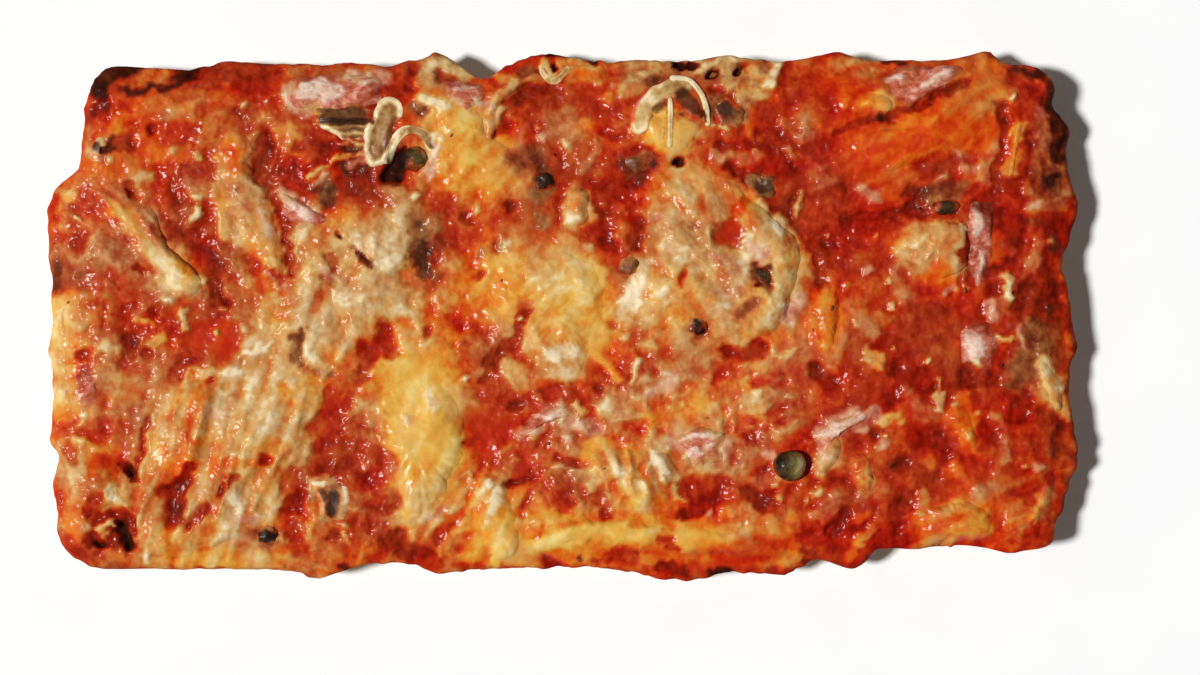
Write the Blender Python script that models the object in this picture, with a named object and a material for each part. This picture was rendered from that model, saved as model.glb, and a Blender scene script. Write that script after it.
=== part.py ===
"""Ham and mushroom pizza slice: a thick baked base, tomato sauce, melted cheese and toppings.

The model is in metres, with +Z up, +X along the long side and +Y to the back. It lies on its
flat underside, with the origin under the middle of its footprint. Sizes and places below are
written in millimetres and turned to metres by MM. Every topping is laid in turn on what is
already there: its underside is lifted just clear of it, as a slice of ham or melting cheese
settles on the layer below.
"""

import math

import bmesh
import bpy
import numpy as np
from mathutils import Vector
from mathutils.bvhtree import BVHTree

MM = 0.001
GAP = 0.32 * MM

# Baked base
HALF_LENGTH = 91.8 * MM
HALF_WIDTH = 46.0 * MM
BASE_HEIGHT = 9.6 * MM
SHOULDER_DROP = 3.4 * MM
SHOULDER_REACH = 6.0 * MM
EDGE_STATIONS = (0.0, 1.2, 2.8, 5.0, 8.5)
MIDDLE_COLUMNS = 22
MIDDLE_ROWS = 10
# Steps down the side, each as how much further in and how high
SIDE_STEPS = ((-0.2, 4.4), (0.4, 2.4), (1.0, 0.9), (1.6, 0.0))
CORNER_RADII = {(-1, -1): 9.0, (-1, 1): 7.0, (1, -1): 6.0, (1, 1): 8.0}
# Uneven sides: where along the side, how far out it goes (minus is in), and how wide
LEFT_SWELLS = ((40, -5.4, 11), (30, -2.6, 4), (15, 1.2, 6), (-22, 0.8, 3))
RIGHT_SWELLS = ((33, -1.5, 6), (19, 1.4, 5), (-3, 1.2, 5), (-34, -2.0, 6))
BACK_SWELLS = ((-70, -1.6, 15), (-21, 0.5, 5), (-13.7, -3.2, 3.5), (76, 1.0, 4))
FRONT_SWELLS = ((-42.5, 1.1, 4), (-29, -1.2, 5), (22, 1.3, 10), (47.5, -1.5, 3), (71, -3.8, 12))
SWELL_START = 0.6

# Tomato sauce
SAUCE_STATION = 2
SAUCE_THICKNESS = 1.5
SAUCE_RIM = 0.6
SAUCE_RIM_WIDTH = 5.0 * MM

# Toppings
MARGIN = 1.0 * MM
CELL = 0.5 * MM
SKY = 60 * MM
DRAPE_STEP = 0.9 * MM
DRAPE_PASSES = 12
CHEESE_RIM = 0.55
HAM_THICKNESS = 2.1
HAM_RIM = 1.5
MUSHROOM_THICKNESS = 2.0
MUSHROOM_RIM = 1.3
BUD_RIM = 0.2
BUD_DOME = 0.85
# Rings of each kind of slab, as shares of the way from its middle to its rim
FINE_RINGS = (0.3, 0.6, 0.85, 1.0)
COARSE_RINGS = (0.45, 0.8, 1.0)
STRIP_RINGS = (0.55, 1.0)
CHIP_RINGS = (0.82, 1.0)
BUD_RINGS = (0.45, 0.8, 1.0)
PATCH_SECTORS = 14
PATCH_SPACING = 4.4 * MM
STRIP_SECTORS = 16
SPINE_STEP = 0.02
BUD_SECTORS = 10
ARCH_POINTS = 7

# Melted cheese, the low patches first and then those that lap over them:
# name, colour, thickness, height, length and turn of its folds, and outline
CHEESE_PATCHES = (
    ("cheese_upper_left_flap", "#E07A2C", 2.3, (0.45, 9, 1.2), (
        (-91, 16), (-86, 24), (-79, 23.5), (-73, 19), (-70, 12), (-63.5, 6.5), (-66, 2.5), (-76, 3.5),
        (-88, 6))),
    ("cheese_left_corner", "#DDA25A", 2.0, (0, 9, 0), (
        (-89, -24), (-81, -23), (-78.5, -29), (-80, -35), (-87, -38), (-90, -32))),
    ("cheese_left_flap", "#DFAE62", 2.8, (0.6, 12, 2.5), (
        (-40, -11), (-50, -9.5), (-61, -9.5), (-69, -13), (-73.5, -20), (-75, -28), (-77, -36),
        (-75, -44), (-64, -44), (-54, -40), (-47, -29), (-42, -18))),
    ("cheese_beige_patch", "#DDBB82", 2.4, (0.3, 9, 0.5), (
        (-48, 15), (-40, 17.5), (-31, 19), (-26, 15), (-25, 6), (-27, -1), (-34, -7.5), (-45, -8),
        (-54, -5), (-52, 3), (-48.5, 8))),
    ("cheese_centre_pool", "#D9A24C", 2.0, (0.25, 9, 1.0), (
        (-23, 39.5), (-15, 38.5), (-12.5, 32), (-6.5, 28), (-6, 21), (-14, 21.5), (-21, 21.5),
        (-23.5, 27), (-24, 33))),
    ("cheese_middle", "#DDB056", 2.2, (0.3, 9, 2.1), (
        (-8, 12), (1, 13), (8.5, 10.5), (9, 3), (8, -4), (4, -12), (-3, -12), (-7, -5), (-13, 0),
        (-14, 7))),
    ("cheese_under_mushroom", "#E3AE48", 1.7, (0, 9, 0), (
        (13, 35.5), (19, 36), (25, 35), (24, 30), (19.5, 28), (15.5, 31))),
    ("cheese_right_flap", "#DDB488", 3.0, (0.45, 13, 0.9), (
        (15, 22), (22, 26), (30, 25), (37, 19), (43.5, 12.5), (42, 5), (40, -2), (33, -5.5), (22, -5),
        (13, -3), (11, 4), (14, 10), (17, 15))),
    ("cheese_right_seam", "#D9862E", 1.8, (0, 9, 0), (
        (45, 6.5), (50, 6), (50.5, 0), (49, -7), (45.5, -8), (43.5, -2))),
    ("cheese_back_right_sheet", "#E8892E", 2.4, (0.45, 10, 1.9), (
        (49, 30), (56, 33), (63.5, 37), (71, 41), (77, 45), (79, 38), (78.5, 31), (71, 28.5),
        (62, 25.5), (54, 25.5))),
    ("cheese_right_patch", "#DDB36A", 2.0, (0, 9, 0), (
        (60.5, 15), (67, 17), (72.5, 16.5), (73.5, 9), (68, 6), (62, 8.5))),
    ("cheese_front_pool", "#DDB64C", 2.6, (0.4, 11, 0.2), (
        (-34, -15), (-28, -10), (-20, -11), (-17.5, -18), (-17, -27), (-20, -33), (-25, -38.5),
        (-30, -37), (-29.5, -28), (-34, -22))),
    ("cheese_front_middle", "#DDB070", 2.2, (0.3, 7, 2.6), (
        (5, -24), (12, -23), (19, -24.5), (22.5, -31), (18, -35), (10, -34.5), (4.5, -30))),
    ("cheese_front_right", "#E3B678", 2.0, (0, 9, 0), (
        (51.5, -24), (56, -26), (57, -31), (52.5, -31.5))),
    ("cheese_right_corner", "#DD9A48", 2.2, (0.3, 9, 0), (
        (64, -35), (70, -33), (77, -35.5), (78, -40.5), (66, -41))),
)
# Strings and strips of cheese: name, colour, width, thickness and spine
CHEESE_STRIPS = (
    ("cheese_left_edge", "#E8B04A", 4.0, 1.7, ((-90, 3), (-90, -5), (-89.5, -13), (-89, -19))),
    ("cheese_ribbon", "#D8983E", 7.5, 2.2, ((-58.5, 33), (-58.5, 25), (-55.5, 16), (-51, 6))),
    ("cheese_back_curl", "#CFA566", 3.4, 2.2, ((-12.5, 31), (-12.3, 37), (-8, 41.5), (-1, 43.5), (8, 44))),
    ("cheese_small_oval", "#E0B080", 5.0, 1.7, ((3.5, 23), (3.1, 19), (3, 16))),
    ("cheese_back_lump", "#E2AC4E", 3.6, 1.7, ((53.5, 38), (56.5, 38.3), (59.5, 36.8))),
    ("cheese_right_stripe", "#E3A24A", 3.0, 1.7, ((82.5, 35), (81.5, 30), (80.5, 24))),
    ("cheese_right_edge", "#D9BC84", 3.2, 2.2, ((85.5, -8), (88, -12), (90, -18.5))),
    ("cheese_right_spot", "#E89A50", 4.0, 1.7, ((70, -17), (72.5, -20), (73.5, -24))),
    ("cheese_front_folds", "#E0A94C", 8.5, 2.2, ((-13.5, -29), (-12, -36), (-9.5, -44))),
    ("cheese_front_strip", "#DDA843", 8.0, 2.2, ((-6, -38.5), (5, -39), (18, -40.5), (30, -41), (41, -42))),
    ("cheese_beside_caper", "#E8C48C", 5.0, 1.7, ((48.5, -21.5), (48, -25), (46, -29))),
    ("cheese_corner_curl", "#D98A4C", 3.2, 2.4, ((80, -37.5), (84, -37), (87, -33), (88.5, -28))),
)
# Cut pieces of cooked ham: name, colour and corners
HAM_CHIPS = (
    ("ham_back_left", "#CC6A62", (
        (-49, 42.5), (-40, 43.8), (-31, 43), (-31.5, 38), (-38, 36.5), (-45, 35.5), (-49.5, 38))),
    ("ham_at_notch", "#CF5A50", ((-21, 42.5), (-14, 42), (-12.8, 39), (-17, 36.5), (-21.5, 39))),
    ("ham_left_wedge", "#DFA496", (
        (-51.5, 22.8), (-45.5, 20.5), (-41.5, 16.8), (-46.5, 14.5), (-49.5, 17))),
    ("ham_back_right", "#C6685E", (
        (55.5, 42.5), (62, 45), (71, 45.5), (74, 44.5), (69, 41), (62, 36.5), (58.5, 39))),
    ("ham_right_strip", "#C78E86", ((73, 20.5), (78, 21.5), (77.5, 10), (75, 3), (72.8, 8))),
    ("ham_right_cube", "#D98A7E", ((71.5, -9.5), (71.5, -2.5), (77, -1), (79, -5), (77, -9.5))),
    ("ham_centre", "#D98878", ((-10, -24), (-3, -19.5), (3, -18), (4.5, -15.5), (-1, -16), (-6, -18))),
    ("ham_front_right", "#E6BDB0", (
        (44, -23), (47.5, -19.5), (54, -17), (56.5, -18), (51, -21), (46, -25))),
    ("ham_front_middle", "#D98A70", ((20.5, -22), (25, -19.5), (30, -21), (29.5, -26.5), (23.5, -28))),
    ("ham_left_bit", "#B06A68", ((-87, -9), (-84, -9.5), (-82.5, -15), (-85.5, -16))),
)
# Pieces of sliced mushroom: name, colour and corners
MUSHROOM_CHIPS = (
    ("mushroom_gilled", "#8E5A34", (
        (-45, 37), (-38, 37.8), (-33, 37.5), (-33.5, 31.5), (-39, 31), (-43.5, 34))),
    ("mushroom_brown_strip", "#8A4A28", ((10, 28), (15, 30), (20.5, 28.5), (20.5, 25.5), (12.5, 25))),
    ("mushroom_back_dark", "#7A5638", ((26.5, 37.5), (30, 39.5), (34, 37.5), (32.5, 33.5), (27.5, 33))),
    ("mushroom_dark_wedge", "#6E4A30", ((32, 25.8), (38.5, 25), (38.5, 21.5), (35, 20.5))),
    ("mushroom_front_left", "#A89A78", (
        (-45.5, -29.5), (-41, -28.8), (-38, -31), (-38, -37), (-42, -38), (-44, -34))),
    ("mushroom_round", "#8A5A48", ((10, 10.5), (13, 11.5), (15, 9.5), (13, 7), (10.5, 8))),
    ("mushroom_left_bit", "#B9A98E", (
        (-84.5, 31.5), (-82.5, 32.5), (-81, 31), (-83, 27.5), (-85, 28.5))),
)
# Curved slices of mushroom: name, colour, width and spine
MUSHROOM_STRIPS = (
    ("mushroom_strip_outer", "#C8B98A", 3.0, ((-33.5, 25.5), (-34.5, 30), (-31.5, 34.5), (-26, 37))),
    ("mushroom_strip_inner", "#CDBD93", 2.4, ((-30.5, 26), (-29, 31), (-25.5, 32.8), (-22.5, 30))),
)
# The mushroom that is cut right through: cap width and height, stem width and length, place, turn
WHOLE_MUSHROOM = ((14.5, 6.8, 2.4, 7.5), (19.3, 36), -3)
# Capers and bits of olive: name, colour, place, radius, stretch and turn
BUDS = (
    ("caper_front_right", "#6A5A30", (41, -27), 3.2, 1.0, 0),
    ("caper_upper_left", "#7A7050", (-26.3, 28), 2.8, 1.0, 0),
    ("caper_on_flap", "#3A3430", (24.5, -1.9), 2.1, 1.0, 0),
    ("caper_front_left", "#2E1C18", (-52.6, -39.5), 2.1, 1.0, 0),
    ("caper_middle", "#4A2014", (-2.9, 24), 1.9, 1.0, 0),
    ("olive_right", "#33261E", (69, 19.3), 1.4, 2.2, 15),
    ("olive_on_flap", "#4A3A20", (36.5, 6.8), 1.5, 1.5, 60),
)


def wave(x, y, height, length, turn):
    """Low swell of the dough, or of what lies on it, at x, y in metres."""
    along = (x * math.cos(turn) + y * math.sin(turn)) / (length * MM)
    across = (y * math.cos(turn) - x * math.sin(turn)) / (length * 1.4 * MM)
    return height * MM * math.sin(2 * math.pi * along) * math.cos(2 * math.pi * across)


def side_swell(place, swells):
    """How far a side stands out at a place along it, in metres."""
    at = place / MM
    return MM * sum(out * math.exp(-((at - middle) / wide) ** 2) for middle, out, wide in swells)


def plan_point(u, v):
    """The point of the slice's plan at u, v, which run from -1 to 1 between its sides."""
    x = u * HALF_LENGTH
    y = v * HALF_WIDTH
    right = 1 if u > 0 else -1
    back = 1 if v > 0 else -1
    radius = CORNER_RADII[right, back] * MM
    p = (abs(x) - HALF_LENGTH + radius) / radius
    q = (abs(y) - HALF_WIDTH + radius) / radius
    if p > 0 and q > 0:
        # The square corner's grid drawn into a quarter disc
        x = right * (HALF_LENGTH - radius + radius * p * math.sqrt(1 - q * q / 2))
        y = back * (HALF_WIDTH - radius + radius * q * math.sqrt(1 - p * p / 2))
    near_x = max(0.0, (abs(u) - SWELL_START) / (1 - SWELL_START)) ** 2
    near_y = max(0.0, (abs(v) - SWELL_START) / (1 - SWELL_START)) ** 2
    out_x = side_swell(y, RIGHT_SWELLS if right > 0 else LEFT_SWELLS)
    out_y = side_swell(x, BACK_SWELLS if back > 0 else FRONT_SWELLS)
    return x + right * near_x * out_x, y + back * near_y * out_y


def kept_on_slice(x, y):
    """The point x, y, or the nearest one to it that lies inside the slice's sides."""
    right = 1 if x > 0 else -1
    back = 1 if y > 0 else -1
    limit_x = HALF_LENGTH + side_swell(y, RIGHT_SWELLS if right > 0 else LEFT_SWELLS) - MARGIN
    limit_y = HALF_WIDTH + side_swell(x, BACK_SWELLS if back > 0 else FRONT_SWELLS) - MARGIN
    x = right * min(abs(x), limit_x)
    y = back * min(abs(y), limit_y)
    radius = CORNER_RADII[right, back] * MM
    in_x = abs(x) - limit_x + radius
    in_y = abs(y) - limit_y + radius
    reach = math.hypot(in_x, in_y)
    if in_x > 0 and in_y > 0 and reach > radius:
        x = right * (limit_x - radius + in_x * radius / reach)
        y = back * (limit_y - radius + in_y * radius / reach)
    return x, y


def stations(half, middle_count):
    """Grid lines from side to side, close together where the shoulder turns down."""
    near = [1 - step * MM / half for step in EDGE_STATIONS]
    middle = [near[-1] * (2 * i / middle_count - 1) for i in range(1, middle_count)]
    return [-value for value in near] + middle + near[::-1]


def edge_distance(u, v):
    """How far a point of the plan lies from the nearest side."""
    return min((1 - abs(u)) * HALF_LENGTH, (1 - abs(v)) * HALF_WIDTH)


def base_top(u, v, x, y):
    """Height of the baked base: level with low swells, and rounded down at the sides."""
    t = max(0.0, 1 - edge_distance(u, v) / SHOULDER_REACH)
    drop = SHOULDER_DROP * (1 - math.sqrt(1 - t * t))
    return BASE_HEIGHT - drop + wave(x, y, 0.35, 62, 0.4) + wave(x, y, 0.2, 37, 1.9)


def sauce_top(u, v, x, y):
    """Height of the sauce, which thins out to its rim near the sides."""
    inner = edge_distance(u, v) - EDGE_STATIONS[SAUCE_STATION] * MM
    full = max(0.0, min(1.0, inner / SAUCE_RIM_WIDTH))
    thick = SAUCE_RIM + (SAUCE_THICKNESS - SAUCE_RIM) * math.sqrt(full)
    return base_top(u, v, x, y) + GAP + thick * MM + full * wave(x, y, 0.3, 24, 2.6)


def plan_grid(bm, columns, rows, height):
    """A sheet over the plan, with its own grid lines and its height at each point."""
    last_column = len(columns) - 1
    last_row = len(rows) - 1
    made = bmesh.ops.create_grid(bm, x_segments=last_column, y_segments=last_row, size=1.0)
    for vert in made["verts"]:
        u = columns[round((vert.co.x + 1) / 2 * last_column)]
        v = rows[round((vert.co.y + 1) / 2 * last_row)]
        x, y = plan_point(u, v)
        vert.co = Vector((x, y, height(u, v, x, y)))
    return made["verts"]


def material(name, colour, roughness):
    """The surface of one piece, from its sRGB colour."""
    parts = [int(colour[i:i + 2], 16) / 255 for i in (1, 3, 5)]
    linear = [c / 12.92 if c <= 0.04045 else ((c + 0.055) / 1.055) ** 2.4 for c in parts]
    made = bpy.data.materials.new(name)
    made.use_nodes = True
    shader = made.node_tree.nodes["Principled BSDF"]
    shader.inputs["Base Color"].default_value = (*linear, 1)
    shader.inputs["Roughness"].default_value = roughness
    shader.inputs["Metallic"].default_value = 0.0
    return made


def finish(name, bm, colour, roughness):
    """Turn a finished shape into a named object with its own material."""
    bmesh.ops.triangulate(bm, faces=bm.faces[:], quad_method="FIXED")
    bmesh.ops.recalc_face_normals(bm, faces=bm.faces[:])
    mesh = bpy.data.meshes.new(name)
    bm.to_mesh(mesh)
    bm.free()
    mesh.materials.append(material(name, colour, roughness))
    mesh.shade_smooth()
    mesh.set_sharp_from_angle(angle=math.radians(50))
    piece = bpy.data.objects.new(name, mesh)
    bpy.context.scene.collection.objects.link(piece)
    return piece


def make_base():
    """The dough: one level top with a rounded shoulder, bulging sides and a flat underside."""
    bm = bmesh.new()
    plan_grid(bm, stations(HALF_LENGTH, MIDDLE_COLUMNS), stations(HALF_WIDTH, MIDDLE_ROWS), base_top)
    for further_in, high in SIDE_STEPS:
        rim = [edge for edge in bm.edges if edge.is_boundary]
        bmesh.ops.extrude_edge_only(bm, edges=rim)
        ring = {vert for edge in bm.edges if edge.is_boundary for vert in edge.verts}
        for vert in ring:
            vert.co.x *= 1 - further_in * MM / HALF_LENGTH
            vert.co.y *= 1 - further_in * MM / HALF_WIDTH
            vert.co.z = high * MM
    rim = [edge for edge in bm.edges if edge.is_boundary]
    bmesh.ops.contextual_create(bm, geom=rim)
    return finish("baked_base", bm, "#B07A3E", 0.75)


def make_sauce():
    """The layer of tomato sauce, from side to side between the dough and the toppings."""
    bm = bmesh.new()
    inner = slice(SAUCE_STATION, -SAUCE_STATION)
    columns = stations(HALF_LENGTH, MIDDLE_COLUMNS)[inner]
    rows = stations(HALF_WIDTH, MIDDLE_ROWS)[inner]
    plan_grid(bm, columns, rows, sauce_top)
    plan_grid(bm, columns, rows, lambda u, v, x, y: base_top(u, v, x, y) + GAP)
    bmesh.ops.bridge_loops(bm, edges=[edge for edge in bm.edges if edge.is_boundary])
    return finish("tomato_sauce", bm, "#B3240C", 0.3)


class Ground:
    """Height of all that is laid so far, on a fine raster seen from above."""

    def __init__(self):
        self.columns = round(2.2 * HALF_LENGTH / CELL)
        self.rows = round(2.2 * HALF_WIDTH / CELL)
        self.tops = np.zeros((self.columns, self.rows))
        self.roof = self.tops

    def cell(self, x, y):
        """Column and row of the raster at x, y."""
        column = np.rint(np.asarray(x) / CELL + self.columns / 2).astype(int)
        row = np.rint(np.asarray(y) / CELL + self.rows / 2).astype(int)
        return np.clip(column, 0, self.columns - 1), np.clip(row, 0, self.rows - 1)

    def add(self, piece):
        """Lay a piece's top into the raster."""
        corners = [vert.co for vert in piece.data.vertices]
        faces = [face.vertices[:] for face in piece.data.polygons]
        tree = BVHTree.FromPolygons(corners, faces)
        low = self.cell(min(c.x for c in corners), min(c.y for c in corners))
        high = self.cell(max(c.x for c in corners), max(c.y for c in corners))
        for column in range(low[0], high[0] + 1):
            x = (column - self.columns / 2) * CELL
            for row in range(low[1], high[1] + 1):
                y = (row - self.rows / 2) * CELL
                hit = tree.ray_cast(Vector((x, y, SKY)), Vector((0, 0, -1)))[0]
                if hit:
                    self.tops[column, row] = max(self.tops[column, row], hit.z)
        # The highest of each cell and its neighbours, so that nothing between cells is missed
        self.roof = self.tops.copy()
        for shift_x in (-1, 0, 1):
            for shift_y in (-1, 0, 1):
                moved = np.roll(self.tops, (shift_x, shift_y), axis=(0, 1))
                self.roof = np.maximum(self.roof, moved)


def drape(points, triangles, ground):
    """Heights for an underside's points, so that its triangles just clear the ground."""
    weights = []
    corners = []
    for triangle in triangles:
        a, b, c = (points[i] for i in triangle)
        longest = max(np.hypot(*(a - b)), np.hypot(*(b - c)), np.hypot(*(c - a)))
        count = max(2, math.ceil(longest / DRAPE_STEP))
        for i in range(count + 1):
            for j in range(count + 1 - i):
                weights.append((i / count, j / count, 1 - (i + j) / count))
                corners.append(triangle)
    weights = np.array(weights)
    corners = np.array(corners)
    places = (points[corners] * weights[:, :, None]).sum(axis=1)
    floors = ground.roof[ground.cell(places[:, 0], places[:, 1])] + GAP
    heights = ground.roof[ground.cell(points[:, 0], points[:, 1])] + GAP
    for _ in range(DRAPE_PASSES):
        short = np.maximum(0, floors - (weights * heights[corners]).sum(axis=1))
        lift = short[:, None] * weights / (weights ** 2).sum(axis=1)[:, None]
        rise = np.zeros_like(heights)
        np.maximum.at(rise, corners, lift)
        heights += rise
    return heights


def pillow(name, ground, colour, roughness, rings, sectors, place, thickness):
    """A closed slab laid on the ground.

    It is a ball whose parallels become the slab's rings, above and below. place gives the
    plan at a ring's share of the way out and a turn from 0 to 1, and thickness gives the
    height of the slab there, in metres.
    """
    bm = bmesh.new()
    bands = 2 * len(rings) + 1
    bmesh.ops.create_uvsphere(bm, u_segments=sectors, v_segments=bands, radius=1.0)
    shares = (0.0, *rings)
    below = {}
    above = {}
    for vert in bm.verts:
        band = round(math.acos(max(-1, min(1, vert.co.z))) * bands / math.pi)
        ring = min(band, bands - band)
        turn = round(math.atan2(vert.co.x, vert.co.y) * sectors / math.tau) % sectors if ring else 0
        side = above if vert.co.z > 0 else below
        side[ring, turn] = vert
        vert.co.x, vert.co.y = kept_on_slice(*place(shares[ring], turn / sectors))
    bmesh.ops.triangulate(bm, faces=bm.faces[:], quad_method="FIXED")
    order = {vert: i for i, vert in enumerate(below.values())}
    triangles = [[order[v] for v in f.verts] for f in bm.faces if all(v in order for v in f.verts)]
    points = np.array([vert.co.xy for vert in below.values()])
    heights = drape(points, triangles, ground)
    for key, height in zip(below, heights):
        ring, turn = key
        low = below[key]
        low.co.z = height
        above[key].co.z = height + thickness(shares[ring], low.co.x, low.co.y)
    piece = finish(name, bm, colour, roughness)
    ground.add(piece)
    return piece


def curve_point(points, t, closed):
    """A smooth curve through points, at t from 0 to 1, as x, y in metres."""
    count = len(points)
    spans = count if closed else count - 1
    at = min(t * spans, spans - 1e-9)
    span = int(at)
    f = at - span
    if closed:
        four = [points[(span + k) % count] for k in (-1, 0, 1, 2)]
    else:
        four = [points[min(max(span + k, 0), count - 1)] for k in (-1, 0, 1, 2)]
    blend = (
        -0.5 * f + f * f - 0.5 * f ** 3,
        1 - 2.5 * f * f + 1.5 * f ** 3,
        0.5 * f + 2 * f * f - 1.5 * f ** 3,
        -0.5 * f * f + 0.5 * f ** 3,
    )
    return tuple(MM * sum(b * point[axis] for b, point in zip(blend, four)) for axis in (0, 1))


def straight_point(points, t):
    """The point at t from 0 to 1 round a polygon, as x, y in metres."""
    at = t * len(points)
    span = int(at) % len(points)
    f = at - int(at)
    first = points[span]
    second = points[(span + 1) % len(points)]
    return tuple(MM * ((1 - f) * first[axis] + f * second[axis]) for axis in (0, 1))


def middle_of(points):
    """The mean of an outline's points, in metres."""
    return tuple(MM * sum(point[axis] for point in points) / len(points) for axis in (0, 1))


def patch(name, ground, colour, thick, folds, outline):
    """Melted cheese inside a smooth outline, with folds on its top."""
    centre = middle_of(outline)
    girth = MM * sum(math.dist(a, b) for a, b in zip(outline, outline[1:] + outline[:1]))
    sectors = max(PATCH_SECTORS, round(girth / PATCH_SPACING))

    def place(share, turn):
        rim = curve_point(outline, turn, True)
        return tuple(c + share * (r - c) for c, r in zip(centre, rim))

    def thickness(share, x, y):
        body = CHEESE_RIM + (thick - CHEESE_RIM) * math.sqrt(1 - share ** 2.5)
        return body * MM + (1 - share ** 3) * wave(x, y, *folds)

    rings = FINE_RINGS if sectors > PATCH_SECTORS else COARSE_RINGS
    return pillow(name, ground, colour, 0.35, rings, sectors, place, thickness)


def strip(name, ground, colour, width, thick, rim, spine):
    """A long narrow piece along a curved spine, with rounded ends."""

    def place(share, turn):
        along = share * math.cos(math.tau * turn)
        across = share * math.sin(math.tau * turn) * math.sqrt(1 + along * along)
        t = (along + 1) / 2
        x, y = curve_point(spine, t, False)
        back = curve_point(spine, max(0, t - SPINE_STEP), False)
        ahead = curve_point(spine, min(1, t + SPINE_STEP), False)
        run = (ahead[0] - back[0], ahead[1] - back[1])
        side = across * width * MM / 2 / math.hypot(*run)
        return x - run[1] * side, y + run[0] * side

    def thickness(share, x, y):
        return MM * (rim + (thick - rim) * math.sqrt(1 - share ** 2.5))

    return pillow(name, ground, colour, 0.35, STRIP_RINGS, STRIP_SECTORS, place, thickness)


def chip(name, ground, colour, thick, rim, corners, per_side=3):
    """A cut slab with straight sides and a nearly level top."""
    centre = middle_of(corners)

    def place(share, turn):
        rim_point = straight_point(corners, turn)
        return tuple(c + share * (r - c) for c, r in zip(centre, rim_point))

    def thickness(share, x, y):
        return MM * (rim + (thick - rim) * (1 - share ** 4))

    return pillow(name, ground, colour, 0.4, CHIP_RINGS, per_side * len(corners), place, thickness)


def bud(name, ground, colour, at, radius, stretch, turn_deg):
    """A caper or a bit of olive, pressed into what it lies on."""

    def place(share, turn):
        x = share * radius * stretch * math.cos(math.tau * turn)
        y = share * radius * math.sin(math.tau * turn)
        return tuple(MM * value for value in placed([(x, y)], at, turn_deg)[0])

    def thickness(share, x, y):
        return MM * radius * (BUD_RIM + BUD_DOME * math.sqrt(1 - share ** 2))

    return pillow(name, ground, colour, 0.4, BUD_RINGS, BUD_SECTORS, place, thickness)


def mushroom_profile(cap_width, cap_height, stem_width, stem_length):
    """Outline of a mushroom cut through: its arched cap, curled lips and stem."""
    cap = []
    for i in range(ARCH_POINTS):
        angle = math.pi * i / (ARCH_POINTS - 1)
        cap.append((cap_width / 2 * math.cos(angle), cap_height * math.sin(angle)))
    lip = cap_height * 0.18
    left = [(-cap_width * 0.36, -lip), (-stem_width / 2, lip), (-stem_width * 0.55, -stem_length)]
    right = [(-x, y) for x, y in reversed(left)]
    return cap + left + right


def placed(profile, at, turn_deg):
    """A profile turned and moved to its place on the slice."""
    c = math.cos(math.radians(turn_deg))
    s = math.sin(math.radians(turn_deg))
    return [(at[0] + c * x - s * y, at[1] + s * x + c * y) for x, y in profile]


def lay_toppings(ground):
    """Cheese first, then ham, mushrooms and capers on top of it."""
    for name, colour, thick, folds, outline in CHEESE_PATCHES:
        patch(name, ground, colour, thick, folds, outline)
    for name, colour, width, thick, spine in CHEESE_STRIPS:
        strip(name, ground, colour, width, thick, CHEESE_RIM, spine)
    for name, colour, corners in HAM_CHIPS:
        chip(name, ground, colour, HAM_THICKNESS, HAM_RIM, corners)
    for name, colour, corners in MUSHROOM_CHIPS:
        chip(name, ground, colour, MUSHROOM_THICKNESS, MUSHROOM_RIM, corners)
    sizes, at, turn_deg = WHOLE_MUSHROOM
    profile = placed(mushroom_profile(*sizes), at, turn_deg)
    chip("mushroom_umbrella", ground, "#C9B27E", MUSHROOM_THICKNESS, MUSHROOM_RIM, profile, per_side=2)
    for name, colour, width, spine in MUSHROOM_STRIPS:
        strip(name, ground, colour, width, MUSHROOM_THICKNESS, MUSHROOM_RIM, spine)
    for name, colour, at, radius, stretch, turn_deg in BUDS:
        bud(name, ground, colour, at, radius, stretch, turn_deg)


def centre_on_footprint():
    """Move every piece alike, so that the origin is under the middle of the footprint."""
    pieces = [piece for piece in bpy.data.objects if piece.type == "MESH"]
    corners = np.array([vert.co for piece in pieces for vert in piece.data.vertices])
    middle = (corners.min(axis=0) + corners.max(axis=0)) / 2
    for piece in pieces:
        for vert in piece.data.vertices:
            vert.co.x -= middle[0]
            vert.co.y -= middle[1]


def main():
    for old in list(bpy.data.objects):
        bpy.data.objects.remove(old, do_unlink=True)
    ground = Ground()
    ground.add(make_base())
    ground.add(make_sauce())
    lay_toppings(ground)
    centre_on_footprint()


main()
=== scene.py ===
"""Looks of the ham and mushroom pizza slice.

The baked base, the sauce and every topping of the solid model get a finely modelled piece. All
sizes in the tables are in millimetres, seen from above, with +X to the right and +Y to the back.
The pieces are laid in turn on a fine raster of heights, so that each one rests on what is there.
"""

import math

import bmesh
import bpy
import numpy as np
from mathutils import Matrix, Vector
from mathutils.bvhtree import BVHTree


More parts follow.
